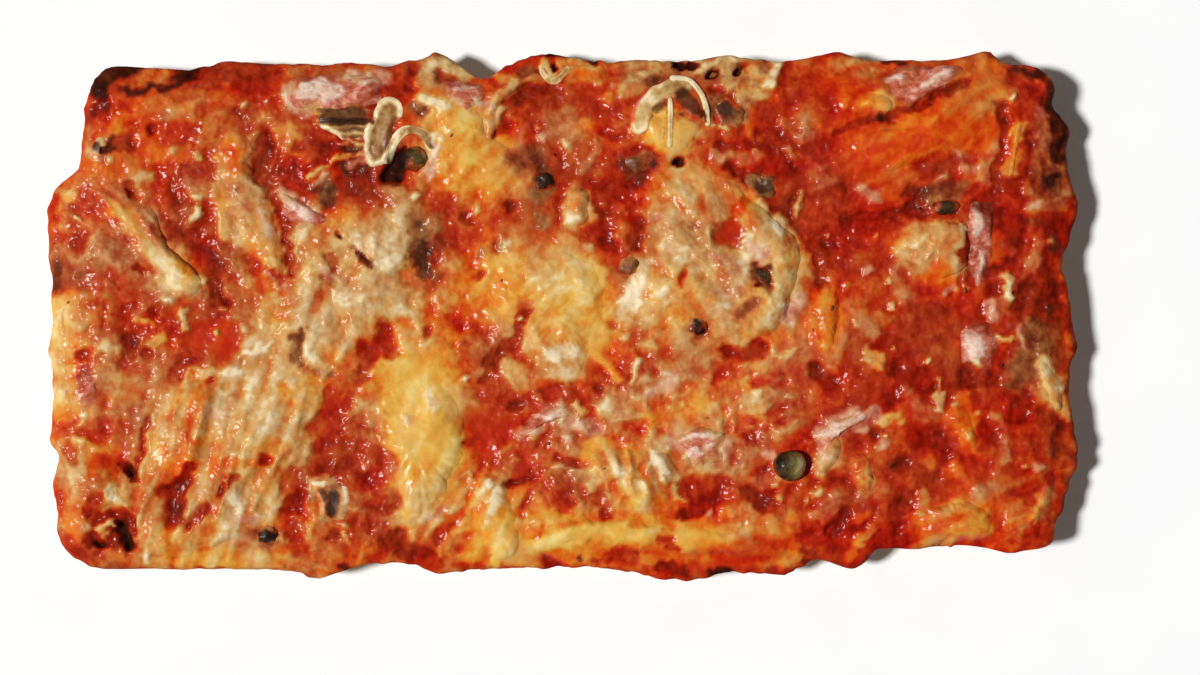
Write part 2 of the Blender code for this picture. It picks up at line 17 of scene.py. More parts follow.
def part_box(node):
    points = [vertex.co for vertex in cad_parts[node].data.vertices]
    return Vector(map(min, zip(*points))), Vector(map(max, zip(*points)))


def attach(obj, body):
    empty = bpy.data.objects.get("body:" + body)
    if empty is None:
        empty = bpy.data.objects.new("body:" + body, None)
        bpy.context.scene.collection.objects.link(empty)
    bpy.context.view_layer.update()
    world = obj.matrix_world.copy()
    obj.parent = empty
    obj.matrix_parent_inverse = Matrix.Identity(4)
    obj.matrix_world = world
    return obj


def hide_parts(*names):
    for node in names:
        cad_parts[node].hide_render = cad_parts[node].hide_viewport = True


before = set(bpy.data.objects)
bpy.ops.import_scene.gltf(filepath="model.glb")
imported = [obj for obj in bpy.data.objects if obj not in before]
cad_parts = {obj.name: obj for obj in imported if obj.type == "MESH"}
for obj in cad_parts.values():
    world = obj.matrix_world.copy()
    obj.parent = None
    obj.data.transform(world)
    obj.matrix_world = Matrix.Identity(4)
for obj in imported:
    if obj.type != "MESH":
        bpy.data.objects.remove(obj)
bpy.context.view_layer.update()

MM = 0.001
# The tables' middle lies this far from the middle of the solids' footprint
SHIFT = np.array((0.17, 0.15))

# Raster over the slice: the size of its cells, and how far it reaches to each side
CELL = 0.3
REACH = np.array((98, 52))
MAP_X, MAP_Y = np.meshgrid(*(np.arange(-reach, reach, CELL) for reach in REACH), indexing="ij")
# Distance between the points of a topping's mesh
STEP = 0.4
# Random tables repeat after this many entries
TILES = 64
# Stands for a distance farther than anything on the slice
FAR = 1e9
# Height above every solid, from which rays are shot down at them
ABOVE = 60
# All round a piece in steps of two degrees and of half a degree, and the ways that the fine ones face
COARSE = np.linspace(-math.pi, math.pi, 181)
TURNS = np.linspace(-math.pi, math.pi, 721)
WAYS = np.stack([np.cos(TURNS), np.sin(TURNS)])

# What a place on the top looks like: tone from dark red sauce to pale creamy cheese, how oily and
# yellow it is, how far it stands up, how much it is pink, grey, charred and smooth, and how
# much of the sauce's pulp and of the crumpled skin of cheese shows on it
CHANNELS = ("tone", "oil", "lift", "pink", "grey", "char", "calm", "pulp", "crumple")
LOOKS = {
    # Hole: sunk in, and painted near black with the burnt colour as the shade in the pit
    "hole": (0.02, 0.5, -1.8, 0, 0, 0.92, 0.3, 0, 0),
    # Deep: dark cooked sauce, also laid as painted shade beside the lips and edges of cheese and ham
    "deep": (0.19, 0.4, -0.6, 0, 0, 0, 0.2, 0.4, 0),
    "red": (0.31, 0.5, -0.3, 0, 0, 0, 0.25, 0.6, 0.2),
    "pool": (0.41, 0.9, -0.5, 0, 0, 0, 0.85, 0.1, 0),
    "lumps": (0.4, 0.6, 0, 0, 0, 0, 0.1, 0.9, 0.3),
    "ember": (0.46, 0.7, 0, 0, 0, 0, 0.1, 0.7, 0.4),
    "crumple": (0.56, 0.35, 0.1, 0.1, 0, 0, 0, 0.3, 1),
    "salmon": (0.6, 0.2, 0.2, 0.15, 0, 0, 0.1, 0.3, 0.6),
    "orange": (0.6, 1, 0.1, 0, 0, 0, 0.55, 0.2, 0.2),
    "amber": (0.7, 0.9, 0.2, 0, 0, 0, 0.55, 0.2, 0.2),
    "gold": (0.79, 0.85, 0.3, 0, 0, 0, 0.55, 0.1, 0.3),
    "yellow": (0.89, 1, 0.35, 0, 0, 0, 0.8, 0, 0.2),
    "tan": (0.7, 0.35, 0.2, 0, 0, 0, 0.2, 0.3, 0.5),
    "beige": (0.82, 0.35, 0.35, 0, 0, 0, 0.35, 0.2, 0.4),
    # Ivory: pale bits of cheese, and in small dots painted glints of the lamp on the wet top
    "ivory_and_glint": (0.95, 0.05, 0.6, 0, 0, 0, 0.2, 0.1, 0.3),
    # Pink: crumbs of ham, and in a few dots painted glints
    "pink": (0.8, 0, 0.2, 0.7, 0, 0, 0, 0.6, 0.6),
    "mauve": (0.3, 0, 0, 0.6, 0, 0, 0.2, 0.1, 0.1),
    # White: the palest bits of cheese, and in places painted glints
    "white": (0.99, 0, 0.5, 0.15, 0.35, 0, 0.1, 0.2, 0.3),
    "moss": (0.75, 0, 0.2, 0, 0.75, 0, 0.1, 0.1, 0.4),
    "olive": (0.3, 0, -0.3, 0, 0.9, 0, 0.1, 0.1, 0.2),
    "brown": (0.36, 0.1, 0, 0, 0.7, 0.1, 0, 0.4, 0.2),
    "char": (0.15, 0, 0.15, 0, 0.2, 0.8, 0, 0.4, 0),
}
# The broad areas under everything else: look, strength, and half width and points of each stroke
GROUNDS = (
    ("lumps", 0.8, ((9, -82, 14, -80, 34), (8, -64, 40, -50, 26), (9, -84, -6))),
    ("red", 0.75, ((8, -66, 20, -60, 10), (7, -62, -2), (9, 2, 34, 12, 20), (6, -36, 24),
        (9, 48, 16, 62, 14), (9, 58, -8, 68, -4), (7, -12, -20, 2, -24), (6, -18, 16, -8, 16),
        (5, -44, -18, -40, -30), (10, 84, 8, 80, -20), (6, 44, 42, 40, 26), (8, 48, -38, 60, -36),
        (7, 82, 34, 84, 18))),
    ("red", 0.8, ((13, 70, -8, 86, -20), (9, 64, -14), (8, 82, 8, 78, 24), (8, 54, -34, 66, -30),
        (7, 50, 14, 62, 4), (6, 44, -12))),
    ("ember", 0.5, ((10, 66, -24, 84, -28), (9, 38, -34, 46, -38), (6, -88, 20, -88, 30),
        (6, 68, 18, 54, 24), (6, -22, -40, -12, -44), (5, 52, 4, 66, 2), (6, 84, 28, 78, 38))),
    ("orange", 0.85, ((7, 58, 28, 74, 33), (5, 76, 40), (6, -74, 34, -80, 26), (4, 72, -34), (4, 50, 38),
        (5, 34, -8, 44, -10))),
    ("crumple", 0.9, ((8, 14, -18, 34, -16), (6, 26, -26), (5, 34, -22), (5, -4, -14),
        (6, -4, -24, 6, -30), (4, -2, 0, -10, -4))),
    ("salmon", 0.8, ((6, -74, 16, -68, 8), (7, -54, -2, -48, 2), (5, 46, -4, 40, -8), (4, 54, -30),
        (4, 80, 4), (7, -80, -12, -74, -12), (8, -84, -34, -80, -24))),
    ("tan", 0.8, ((5, -85, -34, -82, -28), (6, -56, 12, -50, -8), (5, -34, 4, -24, -2),
        (6, 12, -30, 20, -26), (7, -54, -40, -46, -38), (5, 0, -10), (5, -30, 12), (3, 88, -13),
        (5, 32, -2), (4, -90, -26))),
    ("beige", 0.85, ((9, -66, -26, -54, -20), (7, -44, 12, -40, 8), (9, 24, 18, 32, 6), (4, -22, 37),
        (4, 64, 11))),
    ("gold", 0.9, ((7, -17, 30, -13, 26), (7, -12, 7, 0, 6), (5, -26, -34), (5, -12, -38),
        (4, -90, 0, -90, -14))),
    ("yellow", 0.9, ((7, -27, -11, -23, -22), (6, 0, 4, 5, -2), (4, -4, -40, 20, -40.5, 34, -41))),
    ("moss", 0.7, ((4, 14, 45, 34, 44), (3, -24, 45, -18, 45), (4, -32, 10, -28, 14))),
    ("brown", 0.6, ((4, 86, -4, 84, -10), (4, -26, 8, -26, 18), (4, -46, -4), (4, 89, 34, 89, 24),
        (4, -88, 8))),
)
# Details over those, in the same form
STROKES = (
    # Upper left corner
    ("char", 0.95, ((2, -83, 41, -80.5, 44), (1.3, -80, 44.3, -77.5, 44.6), (1.2, -81.5, 38.5),
        (0.9, -77.5, 40.8, -71.5, 41.2), (1, -71, 42, -66, 44.3, -63, 44.2),
        (0.9, -82.5, 28.6, -80.3, 31.5))),
    ("ember", 0.9, ((1.4, -76, 42.8, -72, 42.6), (1.6, -60, 39.5), (1.3, -53.5, 35.5), (1.5, -77, 33))),
    # Dark sauce; right of the upper left flap's lip it is deepened as painted shade
    ("deep", 0.9, ((1.2, -79.5, 31.2, -77.5, 30.4), (1.2, -81, 38, -84, 37), (2, -64, 43, -52, 44),
        (1.5, -59, 35.5, -60.5, 36), (1.9, -70.5, 22, -69, 15.5), (2.6, -66, 13, -62.5, 8.5),
        (1.4, -61.5, 5.5, -61, 2), (1.6, -53.3, 31, -53.2, 25.5, -51, 23), (1.5, -87, 18.5),
        (1.8, -86, 13.5), (1, -77.3, 22.6), (1.3, -75, 8.2), (1, -72.5, 8), (1, -73, 33.5))),
    ("red", 0.8, ((2.4, -67, 26.5, -63, 27), (2, -64, 15, -60, 13), (1.8, -57.5, 12.5, -55, 8),
        (1.8, -50, 26, -45.5, 22.5), (1.6, -87.5, 16), (1.8, -58, 43, -55, 41), (1.6, -62, 35, -57, 33))),
    ("amber", 0.85, ((1.6, -73, 29, -67, 28.6), (1.5, -79.5, 34.3), (1.9, -59, 31, -58.5, 26),
        (1.6, -50, 33, -46.5, 29), (1.5, -88.5, 21.5), (1.6, -80, 19), (1.3, -88, 4),
        (1, -70, 36.8, -66, 36.6))),
    ("brown", 0.8, ((0.7, -86.6, 7.6), (0.9, -91.3, 9, -91, 6), (0.6, -58.4, 22.3),
        (0.9, -60, 16.6, -59.5, 15.6))),
    ("salmon", 0.8, ((1.4, -75, 19.5, -72.8, 14), (1.2, -66, 23.5, -62.5, 21), (1.1, -81.5, 10, -79.5, 9),
        (1, -84.5, 29, -83, 28), (1, -71, 36), (1.3, -57, 19, -53.5, 15), (1.2, -73.5, 3.5, -76, 1),
        (1, -85, 6))),
    ("gold", 0.85, ((1.7, -77.5, 18.5, -76, 13.5), (1.5, -56.5, 14, -52, 10.5),
        (1.1, -61.3, 28, -61, 19, -59.8, 14))),
    ("beige", 0.9, ((1.3, -74.5, 12, -69.5, 9, -64.3, 6.2), (1.1, -71, 5.6, -65.5, 4.6), (1.2, -88, 22.6),
        (0.9, -76, 24.6, -73, 24.2), (1.5, -54.5, 16.5, -51, 9))),
    # Mostly painted glints on the wet sauce, and the pale tip of the flap
    ("ivory_and_glint", 0.9, ((0.6, -70.1, 29.4), (0.5, -73.9, 27.2), (0.6, -64.2, 21.2), (0.7, -65.3, 18.5),
        (0.5, -68.3, 26.4), (0.5, -86.6, 16.9), (0.6, -57, 37.4), (0.6, -66, 6.2, -64, 5.6),
        (0.8, -64.5, 28.2), (0.5, -81, 27.6), (0.9, -65.4, 20.6), (0.9, -65.2, 18.2), (0.7, -70.2, 29.6),
        (0.6, -71, 3, -69.6, 2.4))),
    # Ham, mushrooms and the wedge on the upper left
    ("pink", 0.85, ((1.3, -50.5, 22, -44, 17.5), (1.6, -48, 38, -39, 38), (1.2, -38, 42.8, -32, 42.5),
        (0.6, -52.5, 7, -50, 5.2), (0.6, -40.6, 9, -38.6, 6.6))),
    ("olive", 0.85, ((1.1, -44.5, 23.2, -41.5, 20), (1, -39.3, 26.6, -37, 27.2), (1, -25.8, 37.2),
        (1.2, -26.5, 17.6, -24.5, 15), (1.4, -25.2, 8.6, -24.4, 12), (0.9, -38.6, 33, -36, 30.4))),
    ("ivory_and_glint", 0.8, ((0.5, -45.5, 25, -40.5, 28.6), (0.8, -46.5, 12), (0.9, -41, 7.2, -38.2, 3.2),
        (0.8, -36, 14), (0.8, -33.2, 14.2), (0.5, -52, 4), (1.2, -23.6, 38.4), (0.6, -26.2, 21.4),
        (0.8, -31, 8, -31.5, 2))),
    ("red", 0.85, ((1.3, -39, 22.6, -34, 22), (1.1, -35, 24.5, -31.5, 21), (1.1, -47, 30, -42, 30.5))),
    ("hole", 0.95, ((0.6, -39.5, 14.4), (0.55, -41.5, 10.8), (0.9, -36.3, 11, -33.9, 8.8),
        (1.5, -30, 25.6, -28.4, 28.4))),
    ("red", 0.8, ((0.7, -41.6, 10.6, -40, 9.2), (0.6, -42.6, 6.4), (0.7, -52, 8, -50.4, 6))),
    # Back, middle
    ("deep", 0.9, ((1.2, -21.4, 43.4), (1.6, -11, 33.5, -11, 37, -7, 39.6, -2, 39.4),
        (0.6, 3, 34.6, 10.5, 32.6), (1.3, -17.5, 17), (1.3, -11.8, 12.8), (1.2, -14.8, 7.6),
        (1.3, 7, 18, 8.6, 13), (1.5, 10.5, 22, 12.5, 25), (1.2, -9, 19), (1.2, -26.5, 43.8),
        (1.2, 28.5, 40, 30, 38), (1.1, 13.6, 12.2, 14.6, 17))),
    ("red", 0.75, ((1.6, -20.5, 20, -23.5, 20.5), (1.6, -19, 13), (2, -6, 35.5), (1.8, 5, 28, 9, 35),
        (1.4, 4.5, 23), (2.6, 30, 14.4), (1.3, -16.5, 41.5), (1.2, 22, 6.6), (1.4, -6, 1.5))),
    ("brown", 0.75, ((2.2, -5, 28, -8.5, 27), (1.4, -3.5, 16.8), (1.2, 16, 42), (1, -14.8, 11.2),
        (1.3, -23, 6.5), (0.9, 25.4, 18.8), (0.7, 23.4, 16.8), (0.8, -8, 43.2, -4.5, 43.6))),
    ("brown", 0.9, ((1.8, -2.6, 24.6, -3.4, 21.6),)),
    ("hole", 0.9, ((0.9, 20.5, 26.6), (0.7, -1.6, 44), (0.8, 27.4, 43), (0.5, 3.5, -1.9),
        (0.7, 23.6, 44.6), (0.5, -3, 46.8, 6, 46.4))),
    ("gold", 0.8, ((2.6, -18, 33, -14, 27), (2.2, -10, 24), (2.4, -10, 8, -3, 6), (1.6, -20, 36),
        (1.8, 14.5, 33, 19, 29.6))),
    ("yellow", 0.8, ((1.8, -15.5, 28), (2.6, 2, 8, 6, 6.5), (2.4, 0, 3, 5, -2.5))),
    ("orange", 0.8, ((1.3, -20, 24), (1.2, 8, 39), (1.2, -13.6, 15), (1.3, 4, 43), (1, -26, 41),
        (1, 16, 20.5), (1.5, 22.3, 8.2), (1.2, 5, 34, 1.5, 33))),
    ("beige", 0.85, ((1.3, 21.5, 21.5), (1.5, 25, 23), (1.6, 3.2, 20), (1, -24, 29), (1.6, -30, 10),
        (1, 3, 46), (1.2, 30, 21.5), (1.2, -12, 44, -9.5, 42.4), (0.8, -12, 32.5, -11.6, 37),
        (1.4, 22.5, 12.5), (1.5, 33, 13))),
    # Pale bits of cheese, and painted glints among them
    ("ivory_and_glint", 0.85, ((1, 2.4, 17.4), (0.9, 4.8, 12.2), (0.7, 19.6, 18.8), (0.9, 18, 13),
        (0.8, 12.6, 4.4, 12, 1.5), (0.6, -15.3, 19.2), (0.7, 0.6, 30.4), (0.6, -3.6, 33.4),
        (0.6, 14.2, 44), (0.5, -3.4, 45, -1.4, 41.8), (0.9, 33, 9.5), (0.5, 10, 14.6), (0.5, 11.9, 17.8),
        (0.9, 27, 8.4), (0.8, 18.6, 2), (0.6, -6.9, -1))),
    # Crumbs of ham, and one painted glint on the sauce at the back
    ("pink", 0.75, ((1, -16, 38.6, -13.4, 37.6), (0.8, -3, 31.4), (0.7, 8.8, 41), (1.3, 29, 4.6, 35, 10.6),
        (0.9, 17, 18), (1, 13, 3))),
    ("moss", 0.75, ((1.6, 18, 46, 24, 46.3), (1.6, 29, 46, 33, 46), (1.4, -30, 12, -31, 16),
        (1.3, -23, 46, -19, 46.4), (1.2, -10.5, 13), (1.4, 11, 0.5))),
    # Back right; the dark line under the ham's front edge and the dark band beyond the right flap's lip
    # are painted shadow
    ("deep", 0.9, ((1.1, 41.5, 45, 41.3, 39), (0.7, 50, 32.8, 55, 34.2, 60.5, 36, 66, 38.6, 73, 41.8),
        (1.1, 35, 32), (0.9, 40.6, 28.4), (1.2, 39.6, 21, 42.4, 16, 47, 13),
        (0.8, 51, 17.4, 57, 18, 63, 19.2), (1.2, 77.2, 27, 77.4, 17, 75.8, 8), (1.3, 73.2, 16, 73.4, 9),
        (1.6, 86, 9, 89, 3), (1.8, 83, 1), (0.8, 28.5, 30.4, 31.5, 30.3), (1.1, 79, 37.5, 80.4, 33),
        (1.2, 64, 18.6), (1.2, 62, 22, 66, 21.2))),
    ("red", 0.75, ((1.8, 47, 38.6), (1.6, 36.5, 36), (1.8, 43, 42), (2.4, 66, 26), (1.8, 84, 40),
        (1.6, 70, 17.6), (2.4, 57, 12), (1.6, 80.5, 28), (1.8, 46.5, 22.5), (1.4, 77, 2.5, 72, 2.2))),
    ("orange", 0.9, ((3.4, 56, 28.6), (3.6, 64, 32, 72, 35), (3, 75.5, 35.5), (1.9, 77, 44, 76.8, 39),
        (2, 62, 28.5), (1.8, 44, 35, 45.5, 29), (1.4, 53, 30.6), (1.6, 79, 10), (1.6, 68.5, 8),
        (1.3, 33, 28))),
    ("amber", 0.8, ((1.7, 72, 37.6, 77, 36.4), (1.2, 76.8, 43.6), (1.5, 50, 38.5), (1.3, 34, 36, 34.5, 33),
        (1.6, 47, 3), (1.3, 57.2, 27.8), (1.6, 65.5, 34))),
    ("gold", 0.85, ((1.2, 56, 38, 58.6, 37.6), (0.7, 82.4, 34.6, 81.6, 31, 80.6, 28, 80.3, 24.6),
        (1.2, 30, 28.5, 36, 28))),
    ("tan", 0.8, ((1, 77, 29.5, 75, 24), (1.3, 85, 19.6, 91, 19.4), (1.4, 50, 45.6, 56, 45.2),
        (1.2, 41, 13, 43.4, 10), (1.5, 36, 17.5), (1.2, 84, 23))),
    # Mostly painted glints, with a few pale strips and lumps of cheese
    ("ivory_and_glint", 0.85, ((1, 38.6, 44.4, 37.2, 41.6), (1, 62, 12, 64.5, 13.8), (0.7, 71, 14.5, 71, 10.6),
        (0.8, 43, 21.8, 42.2, 19.2), (0.5, 47.6, 37), (0.5, 51.4, 37), (0.5, 38.2, 32.6), (0.5, 48, 14.7),
        (0.5, 56.8, 14.8), (0.5, 81, 38.4), (0.7, 80.3, 6.6, 81, 2.6), (0.8, 58.4, 6.2), (0.6, 59.4, 1.4),
        (0.5, 44.8, 27, 43.4, 28.6), (0.8, 40, 1.6), (0.5, 87.4, 13.6), (0.6, 52.6, 0.6), (0.5, 68.4, 4.8),
        (0.5, 35.2, 29.2), (0.6, 92, 22), (0.6, 36, 31, 38.8, 35))),
    ("pink", 0.75, ((1.2, 71, 27.6, 74, 26), (0.8, 54, 23, 56.5, 21.5), (0.9, 55, 8), (1.2, 86, 36.5),
        (0.9, 85.5, 32.5), (1.2, 77.5, 0), (0.8, 66.8, 21.2, 69, 24.6), (0.8, 37, 11.4, 33, 11),
        (0.9, 41, 24), (0.8, 84.5, 20))),
    ("char", 0.9, ((1.4, 82, 44, 86, 43), (1.5, 88, 40.5, 89.4, 34), (1.2, 89.6, 31, 89.4, 28),
        (1, 86, 23.6, 88.6, 24.6), (0.6, 58, 46.4, 61, 46), (0.8, 57.5, 35.2), (0.9, 32, 43.4, 33, 45),
        (0.8, 36.6, 8.4), (0.6, 34.6, 5.4))),
    ("brown", 0.75, ((1.4, 31, 37.4, 33, 39), (1.2, 85, 16, 89, 12), (1.2, 36, 44.4),
        (1.3, 31.5, 0, 34, 2))),
    # Left edge and the glossy pool
    ("pool", 0.85, ((2.8, -64.6, -3.6, -60.6, -4.4), (1.6, -69, 1.4, -66, 1.6), (1.2, -70.6, -5.6))),
    ("deep", 0.85, ((1, -72.6, 0.4), (1.6, -69.4, -11, -68, -9), (1.4, -77.6, -4.5, -78, -8),
        (1.2, -86, -7.4), (1, -74.8, -7.4))),
    ("yellow", 0.85, ((1.3, -90.8, 2, -90.3, -14), (1.1, -61, -43.2, -67, -43))),
    ("beige", 0.9, ((1.3, -90, -16.5), (1.5, -85.3, -18.4), (1, -87, -23.4, -81, -23.4),
        (1.3, -88, -29, -87.5, -33), (1.3, -81.8, -6.2), (0.8, -74, -5.4, -71.5, -4.4),
        (0.8, -76.4, -0.8, -73.4, -2), (1.4, -78, -11.6))),
    # Mostly painted glints, on the pool and beside it, with a few pale bits
    ("ivory_and_glint", 0.9, ((0.7, -68, -2, -67.6, 1.4), (0.5, -62, -3.4), (0.5, -61, 1.2),
        (0.9, -81, -31, -78.6, -35), (0.6, -92, -20.6), (0.5, -57, -6.2, -52, -5.6), (0.5, -78, -18),
        (0.6, -57, -2))),
    ("mauve", 0.8, ((1.3, -85.5, -10.6, -84.6, -14.6), (0.7, -80, -17))),
    ("red", 0.8, ((1.4, -88.6, -24.4, -87.6, -25.6), (1.4, -83, -32.6, -84, -35), (1.6, -82, -14.5),
        (1.6, -79, -20.5), (1, -82, -21.8, -86, -21.6))),
    ("orange", 0.75, ((1.4, -88.3, -38, -86, -40), (1.3, -73, -17), (1.6, -84, -1), (1.4, -76.5, -14.4),
        (1.4, -84, -27.4), (1.6, -80.5, -42.6), (1.3, -79, -44))),
    ("deep", 0.9, ((1.3, -84.4, -40.6, -82.6, -39.4, -80, -40.6),
        (1.2, -82.6, -36.6, -79, -36, -77, -38.4))),
    ("hole", 0.95, ((0.8, -77.6, -26.8, -76.2, -28.4), (1.1, -79.6, -38.6, -77.8, -40.8),
        (0.6, -83.6, -40.6, -82, -41))),
    ("ivory_and_glint", 0.9, ((0.6, -82.4, -38.4, -80.8, -37.6), (0.5, -81.6, -39.2))),
    # The big flap on the lower left
    ("ivory_and_glint", 0.75, ((0.8, -58, -15, -59.4, -23, -61.8, -31.4), (0.8, -73.8, -20, -74.2, -27),
        (0.7, -66, -10, -56.5, -9.6), (0.8, -75.6, -36, -74.4, -43.4), (1.2, -70.6, -21.6, -69.4, -24.4),
        (0.9, -61.8, -16), (0.8, -63, -40.6, -61, -39.6), (1.6, -52.5, -20), (1, -47, -19),
        (0.7, -55.5, -12, -55.8, -17), (0.8, -58, -33, -56.4, -35.4))),
    ("beige", 0.7, ((1.6, -66, -20, -64, -26), (2, -55, -22, -56, -31), (1.8, -50, -12, -47, -16),
        (1.6, -72, -31, -73.5, -35), (1.6, -60, -36.5, -55, -37), (1, -52, -31, -50, -27))),
    ("orange", 0.75, ((1.3, -49.6, -13.6), (1.2, -66.4, -18.4), (1.5, -62, -27.4), (1.2, -64, -22),
        (1.3, -58.8, -26.2), (1, -70.4, -38, -70.6, -42.6), (1.2, -65.4, -33), (0.9, -71.4, -17.8),
        (1.1, -55.6, -26), (1, -60, -12.6), (1.4, -53.6, -43, -48.4, -43.4))),
    ("red", 0.85, ((0.7, -63.2, -11.4), (0.8, -60.6, -31.4, -58.6, -28.6), (1.2, -53, -26),
        (0.8, -66.4, -26.8, -69.4, -29.8), (1.4, -44, -21, -40.6, -14.6), (1.3, -50, -31.4, -47, -29),
        (1.2, -66, -36.6, -64, -34.6), (1.4, -49, -38, -46, -42), (1.4, -40, -22, -37, -26))),
    ("deep", 0.95, ((1.7, -70.2, -32, -69.6, -36.6), (1.4, -43.4, -24, -42.6, -27),
        (1.3, -49, -34.6, -46.6, -32.6), (0.9, -67.6, -37.6), (1.2, -41.4, -40),
        (1.2, -67, -28.6, -68.4, -31))),
    # Pink crumbs, and a painted glint on the flap
    ("pink", 0.6, ((1.2, -61.6, -17.6), (0.9, -58, -36, -54, -36.4), (0.9, -56.4, -40.6),
        (0.8, -47.4, -5))),
    ("moss", 0.85, ((1.6, -45.2, -3.4, -43, -8), (1.3, -45, -30.6, -42.6, -33), (1.3, -42.6, -36.4),
        (1.1, -46.6, -14.6))),
    ("olive", 0.9, ((1, -48, -3.6, -46.4, -7.4), (1, -43, -9.6, -41, -10.6),
        (1.4, -40.6, -31.2, -40.8, -35))),
    ("char", 0.85, ((0.8, -40, -46, -38.4, -46), (0.5, -84.6, -42.4), (0.7, -49, -45.2))),
    # Front, middle
    ("red", 0.85, ((1.3, -31.6, -2, -30.4, -7), (1.5, -33, -36, -30, -33), (2.2, -15, -19, -8, -20.5),
        (1.4, -16, -23), (1.4, 0.6, -29, 1, -33.6), (1.1, 11, -19.6), (1.6, 18, -13),
        (2, 24, -30.6, 29, -31), (1.1, 7.4, -33.6), (1.2, -35, -6, -36, -12),
        (1.2, -12, -39.6, -13.4, -43), (1.3, 7, -43.6, 14, -43.4), (1.2, 8.6, -35.8, 6.8, -31.8),
        (1.6, -2.4, -14, 2, -14.4), (1.1, -24, -2.6), (1.2, -4, -23.4))),
    ("deep", 0.9, ((1.3, -6.6, 0, -8, -4, -13, -9), (1.2, -14, -11.6), (1.1, -0.6, -25.4, 3, -26.2),
        (0.9, -9, -30, -6.4, -30), (1.7, -29.6, -40.4, -27.4, -41.8), (1.3, 22, -36.2, 29, -33),
        (1.2, -8.4, -16.4), (1.1, 9.6, -1.6), (1.3, -2.6, -44.6, 0, -45), (1, 18, -45.8, 23, -46.2),
        (1, 6, -13.4), (1.1, -32, -40))),
    ("yellow", 0.8, ((3.2, -25, -14, -23, -19), (2.2, -30, -20), (2.6, -22, -24), (1, -12, -42, -9, -37.6),
        (1.4, -8, -43.6), (1.2, -3, -40.4, 8, -38.2, 15, -39.6), (1.4, 22, -40.4, 29, -40.6),
        (0.9, 5, -5.6, 8, -9.6, 10.4, -11.6), (1.3, -26, -9.4))),
    ("gold", 0.8, ((2.2, -25, -29, -25, -34), (1.4, -18, -34.6), (1.3, -5.6, -37), (1.2, 5.6, -27.4),
        (1.6, 14, -33.6), (1.4, 4, -24.6, 8, -23.6), (1.2, 26, -43), (1.2, -19, -3.6), (1.4, 22, -20),
        (1.2, -3.4, -34))),
    ("beige", 0.85, ((1.7, -24, -5.6), (1.4, -9.6, -9, -7.4, -13), (1.5, 9, -28, 11, -27.4),
        (1.2, 11, -31, 14, -30.6), (1, 6, -30.6), (1.6, 8.4, -16.8), (1.4, -3, -9.4),
        (1, -27.4, -37.6, -21, -34.6, -17, -29), (1, 13.6, -26.4, 12.4, -24), (1.3, 16, -5.4),
        (1.5, 26, -23), (0.9, -33.4, -17), (1.3, 1, -10.6), (0.9, -10, -35, -13, -29.6))),
    # Pale bits of cheese, and painted glints among them
    ("ivory_and_glint", 0.9, ((1.5, -1.6, -7.2, 1.6, -6.4), (1.1, 17.2, -25.4, 19, -29),
        (0.7, -12.6, -29.4, -15, -33), (0.8, -26.6, -18.6), (0.8, -17, -11.4),
        (0.6, 13, -11.4, 14.4, -8.4), (0.6, 21.4, -22, 28, -21.4), (0.8, 22, -33, 20.6, -31),
        (0.6, -7, -0.9), (0.6, 23, -43.4), (0.6, 11.6, -4.4), (0.6, -11.4, -37.6, -10.6, -39.6),
        (0.7, -18.6, -29.8, -17, -28.4), (0.5, 2, -27.8), (0.6, 3, -16.6, 5, -17.4), (0.6, 19, -16.4),
        (0.5, 22, -16.2), (0.5, 27, -35.4), (0.6, 20.4, -23.8), (0.7, -38.6, -38))),
    ("pink", 0.75, ((1.4, -3, -18.2, -0.6, -17.4), (0.8, -8.4, -21.6, -4, -20), (0.9, 0.4, -21.6),
        (1.2, 24.6, -25.2), (0.9, 5, -46), (0.9, 15.6, -14.4), (0.8, 26.6, -36),
        (0.9, -19.6, -33.6, -23, -36.4), (1, -31, -28))),
    ("orange", 0.8, ((1.8, 16, -18.6), (1.4, -17, -30, -19.6, -36), (1.4, -20, -41.6), (1, -3.6, -12.6),
        (1.2, -28, -1.6), (1.4, 25, -15.4), (1.2, -8, -34.6), (1.2, 17, -43), (1.3, 0, -42.6),
        (1.4, 17.6, -33.4))),
    ("orange", 0.75, ((1.1, -2, -43, 8, -42.2), (1.2, 16, -42.4, 24, -43.8), (0.8, 13, -37.4, 20, -38.2),
        (0.7, -3, -36.6, -5, -41.4), (1, -15.6, -37, -17.4, -43), (0.9, 33, -40, 38, -41.6))),
    ("red", 0.75, ((0.9, 9, -42, 14, -42.8), (0.9, 28, -43, 34, -44), (0.7, -7, -36, -8, -39),
        (0.8, 17.6, -40.2, 20, -41.4))),
    ("char", 0.85, ((0.8, 27, -46.8, 31, -47), (0.5, 3.4, -43.2))),
    # Front, right
    ("deep", 0.9, ((1.2, 30, -6.4, 36, -6), (1.5, 46, -10.6, 48, -12.6), (1.5, 56.4, -21.4),
        (1.7, 59.6, -27), (1.6, 34, -32, 36.4, -33.6), (1.3, 50.4, -35.6, 49, -38),
        (1.5, 61, -33, 60, -38.6), (1.1, 78, -35, 79, -38), (1.5, 83, -15.4, 82, -18),
        (1.4, 90, -21, 89.6, -25), (1, 55, -3), (1.8, 44, -43.4, 45.6, -46), (0.9, 39, -41),
        (1.2, 60, -10), (1.2, 77.6, -10.6, 72, -11.4), (1, 36.6, -28), (1.3, 86, -17))),
    ("red", 0.8, ((1.6, 62, -8.6, 63, -3.6), (1.6, 66, -20.4, 68, -22.6), (1.6, 78, -22), (1.6, 41, -31.6),
        (1.7, 84.6, -33), (1.6, 53, -22.6), (1.2, 49, -29, 52, -31.4), (1.6, 49.4, -41), (1.5, 57, -13),
        (1.5, 88, -29), (1.2, 34.6, -21.6), (1.4, 76, -30), (1.3, 52, -8))),
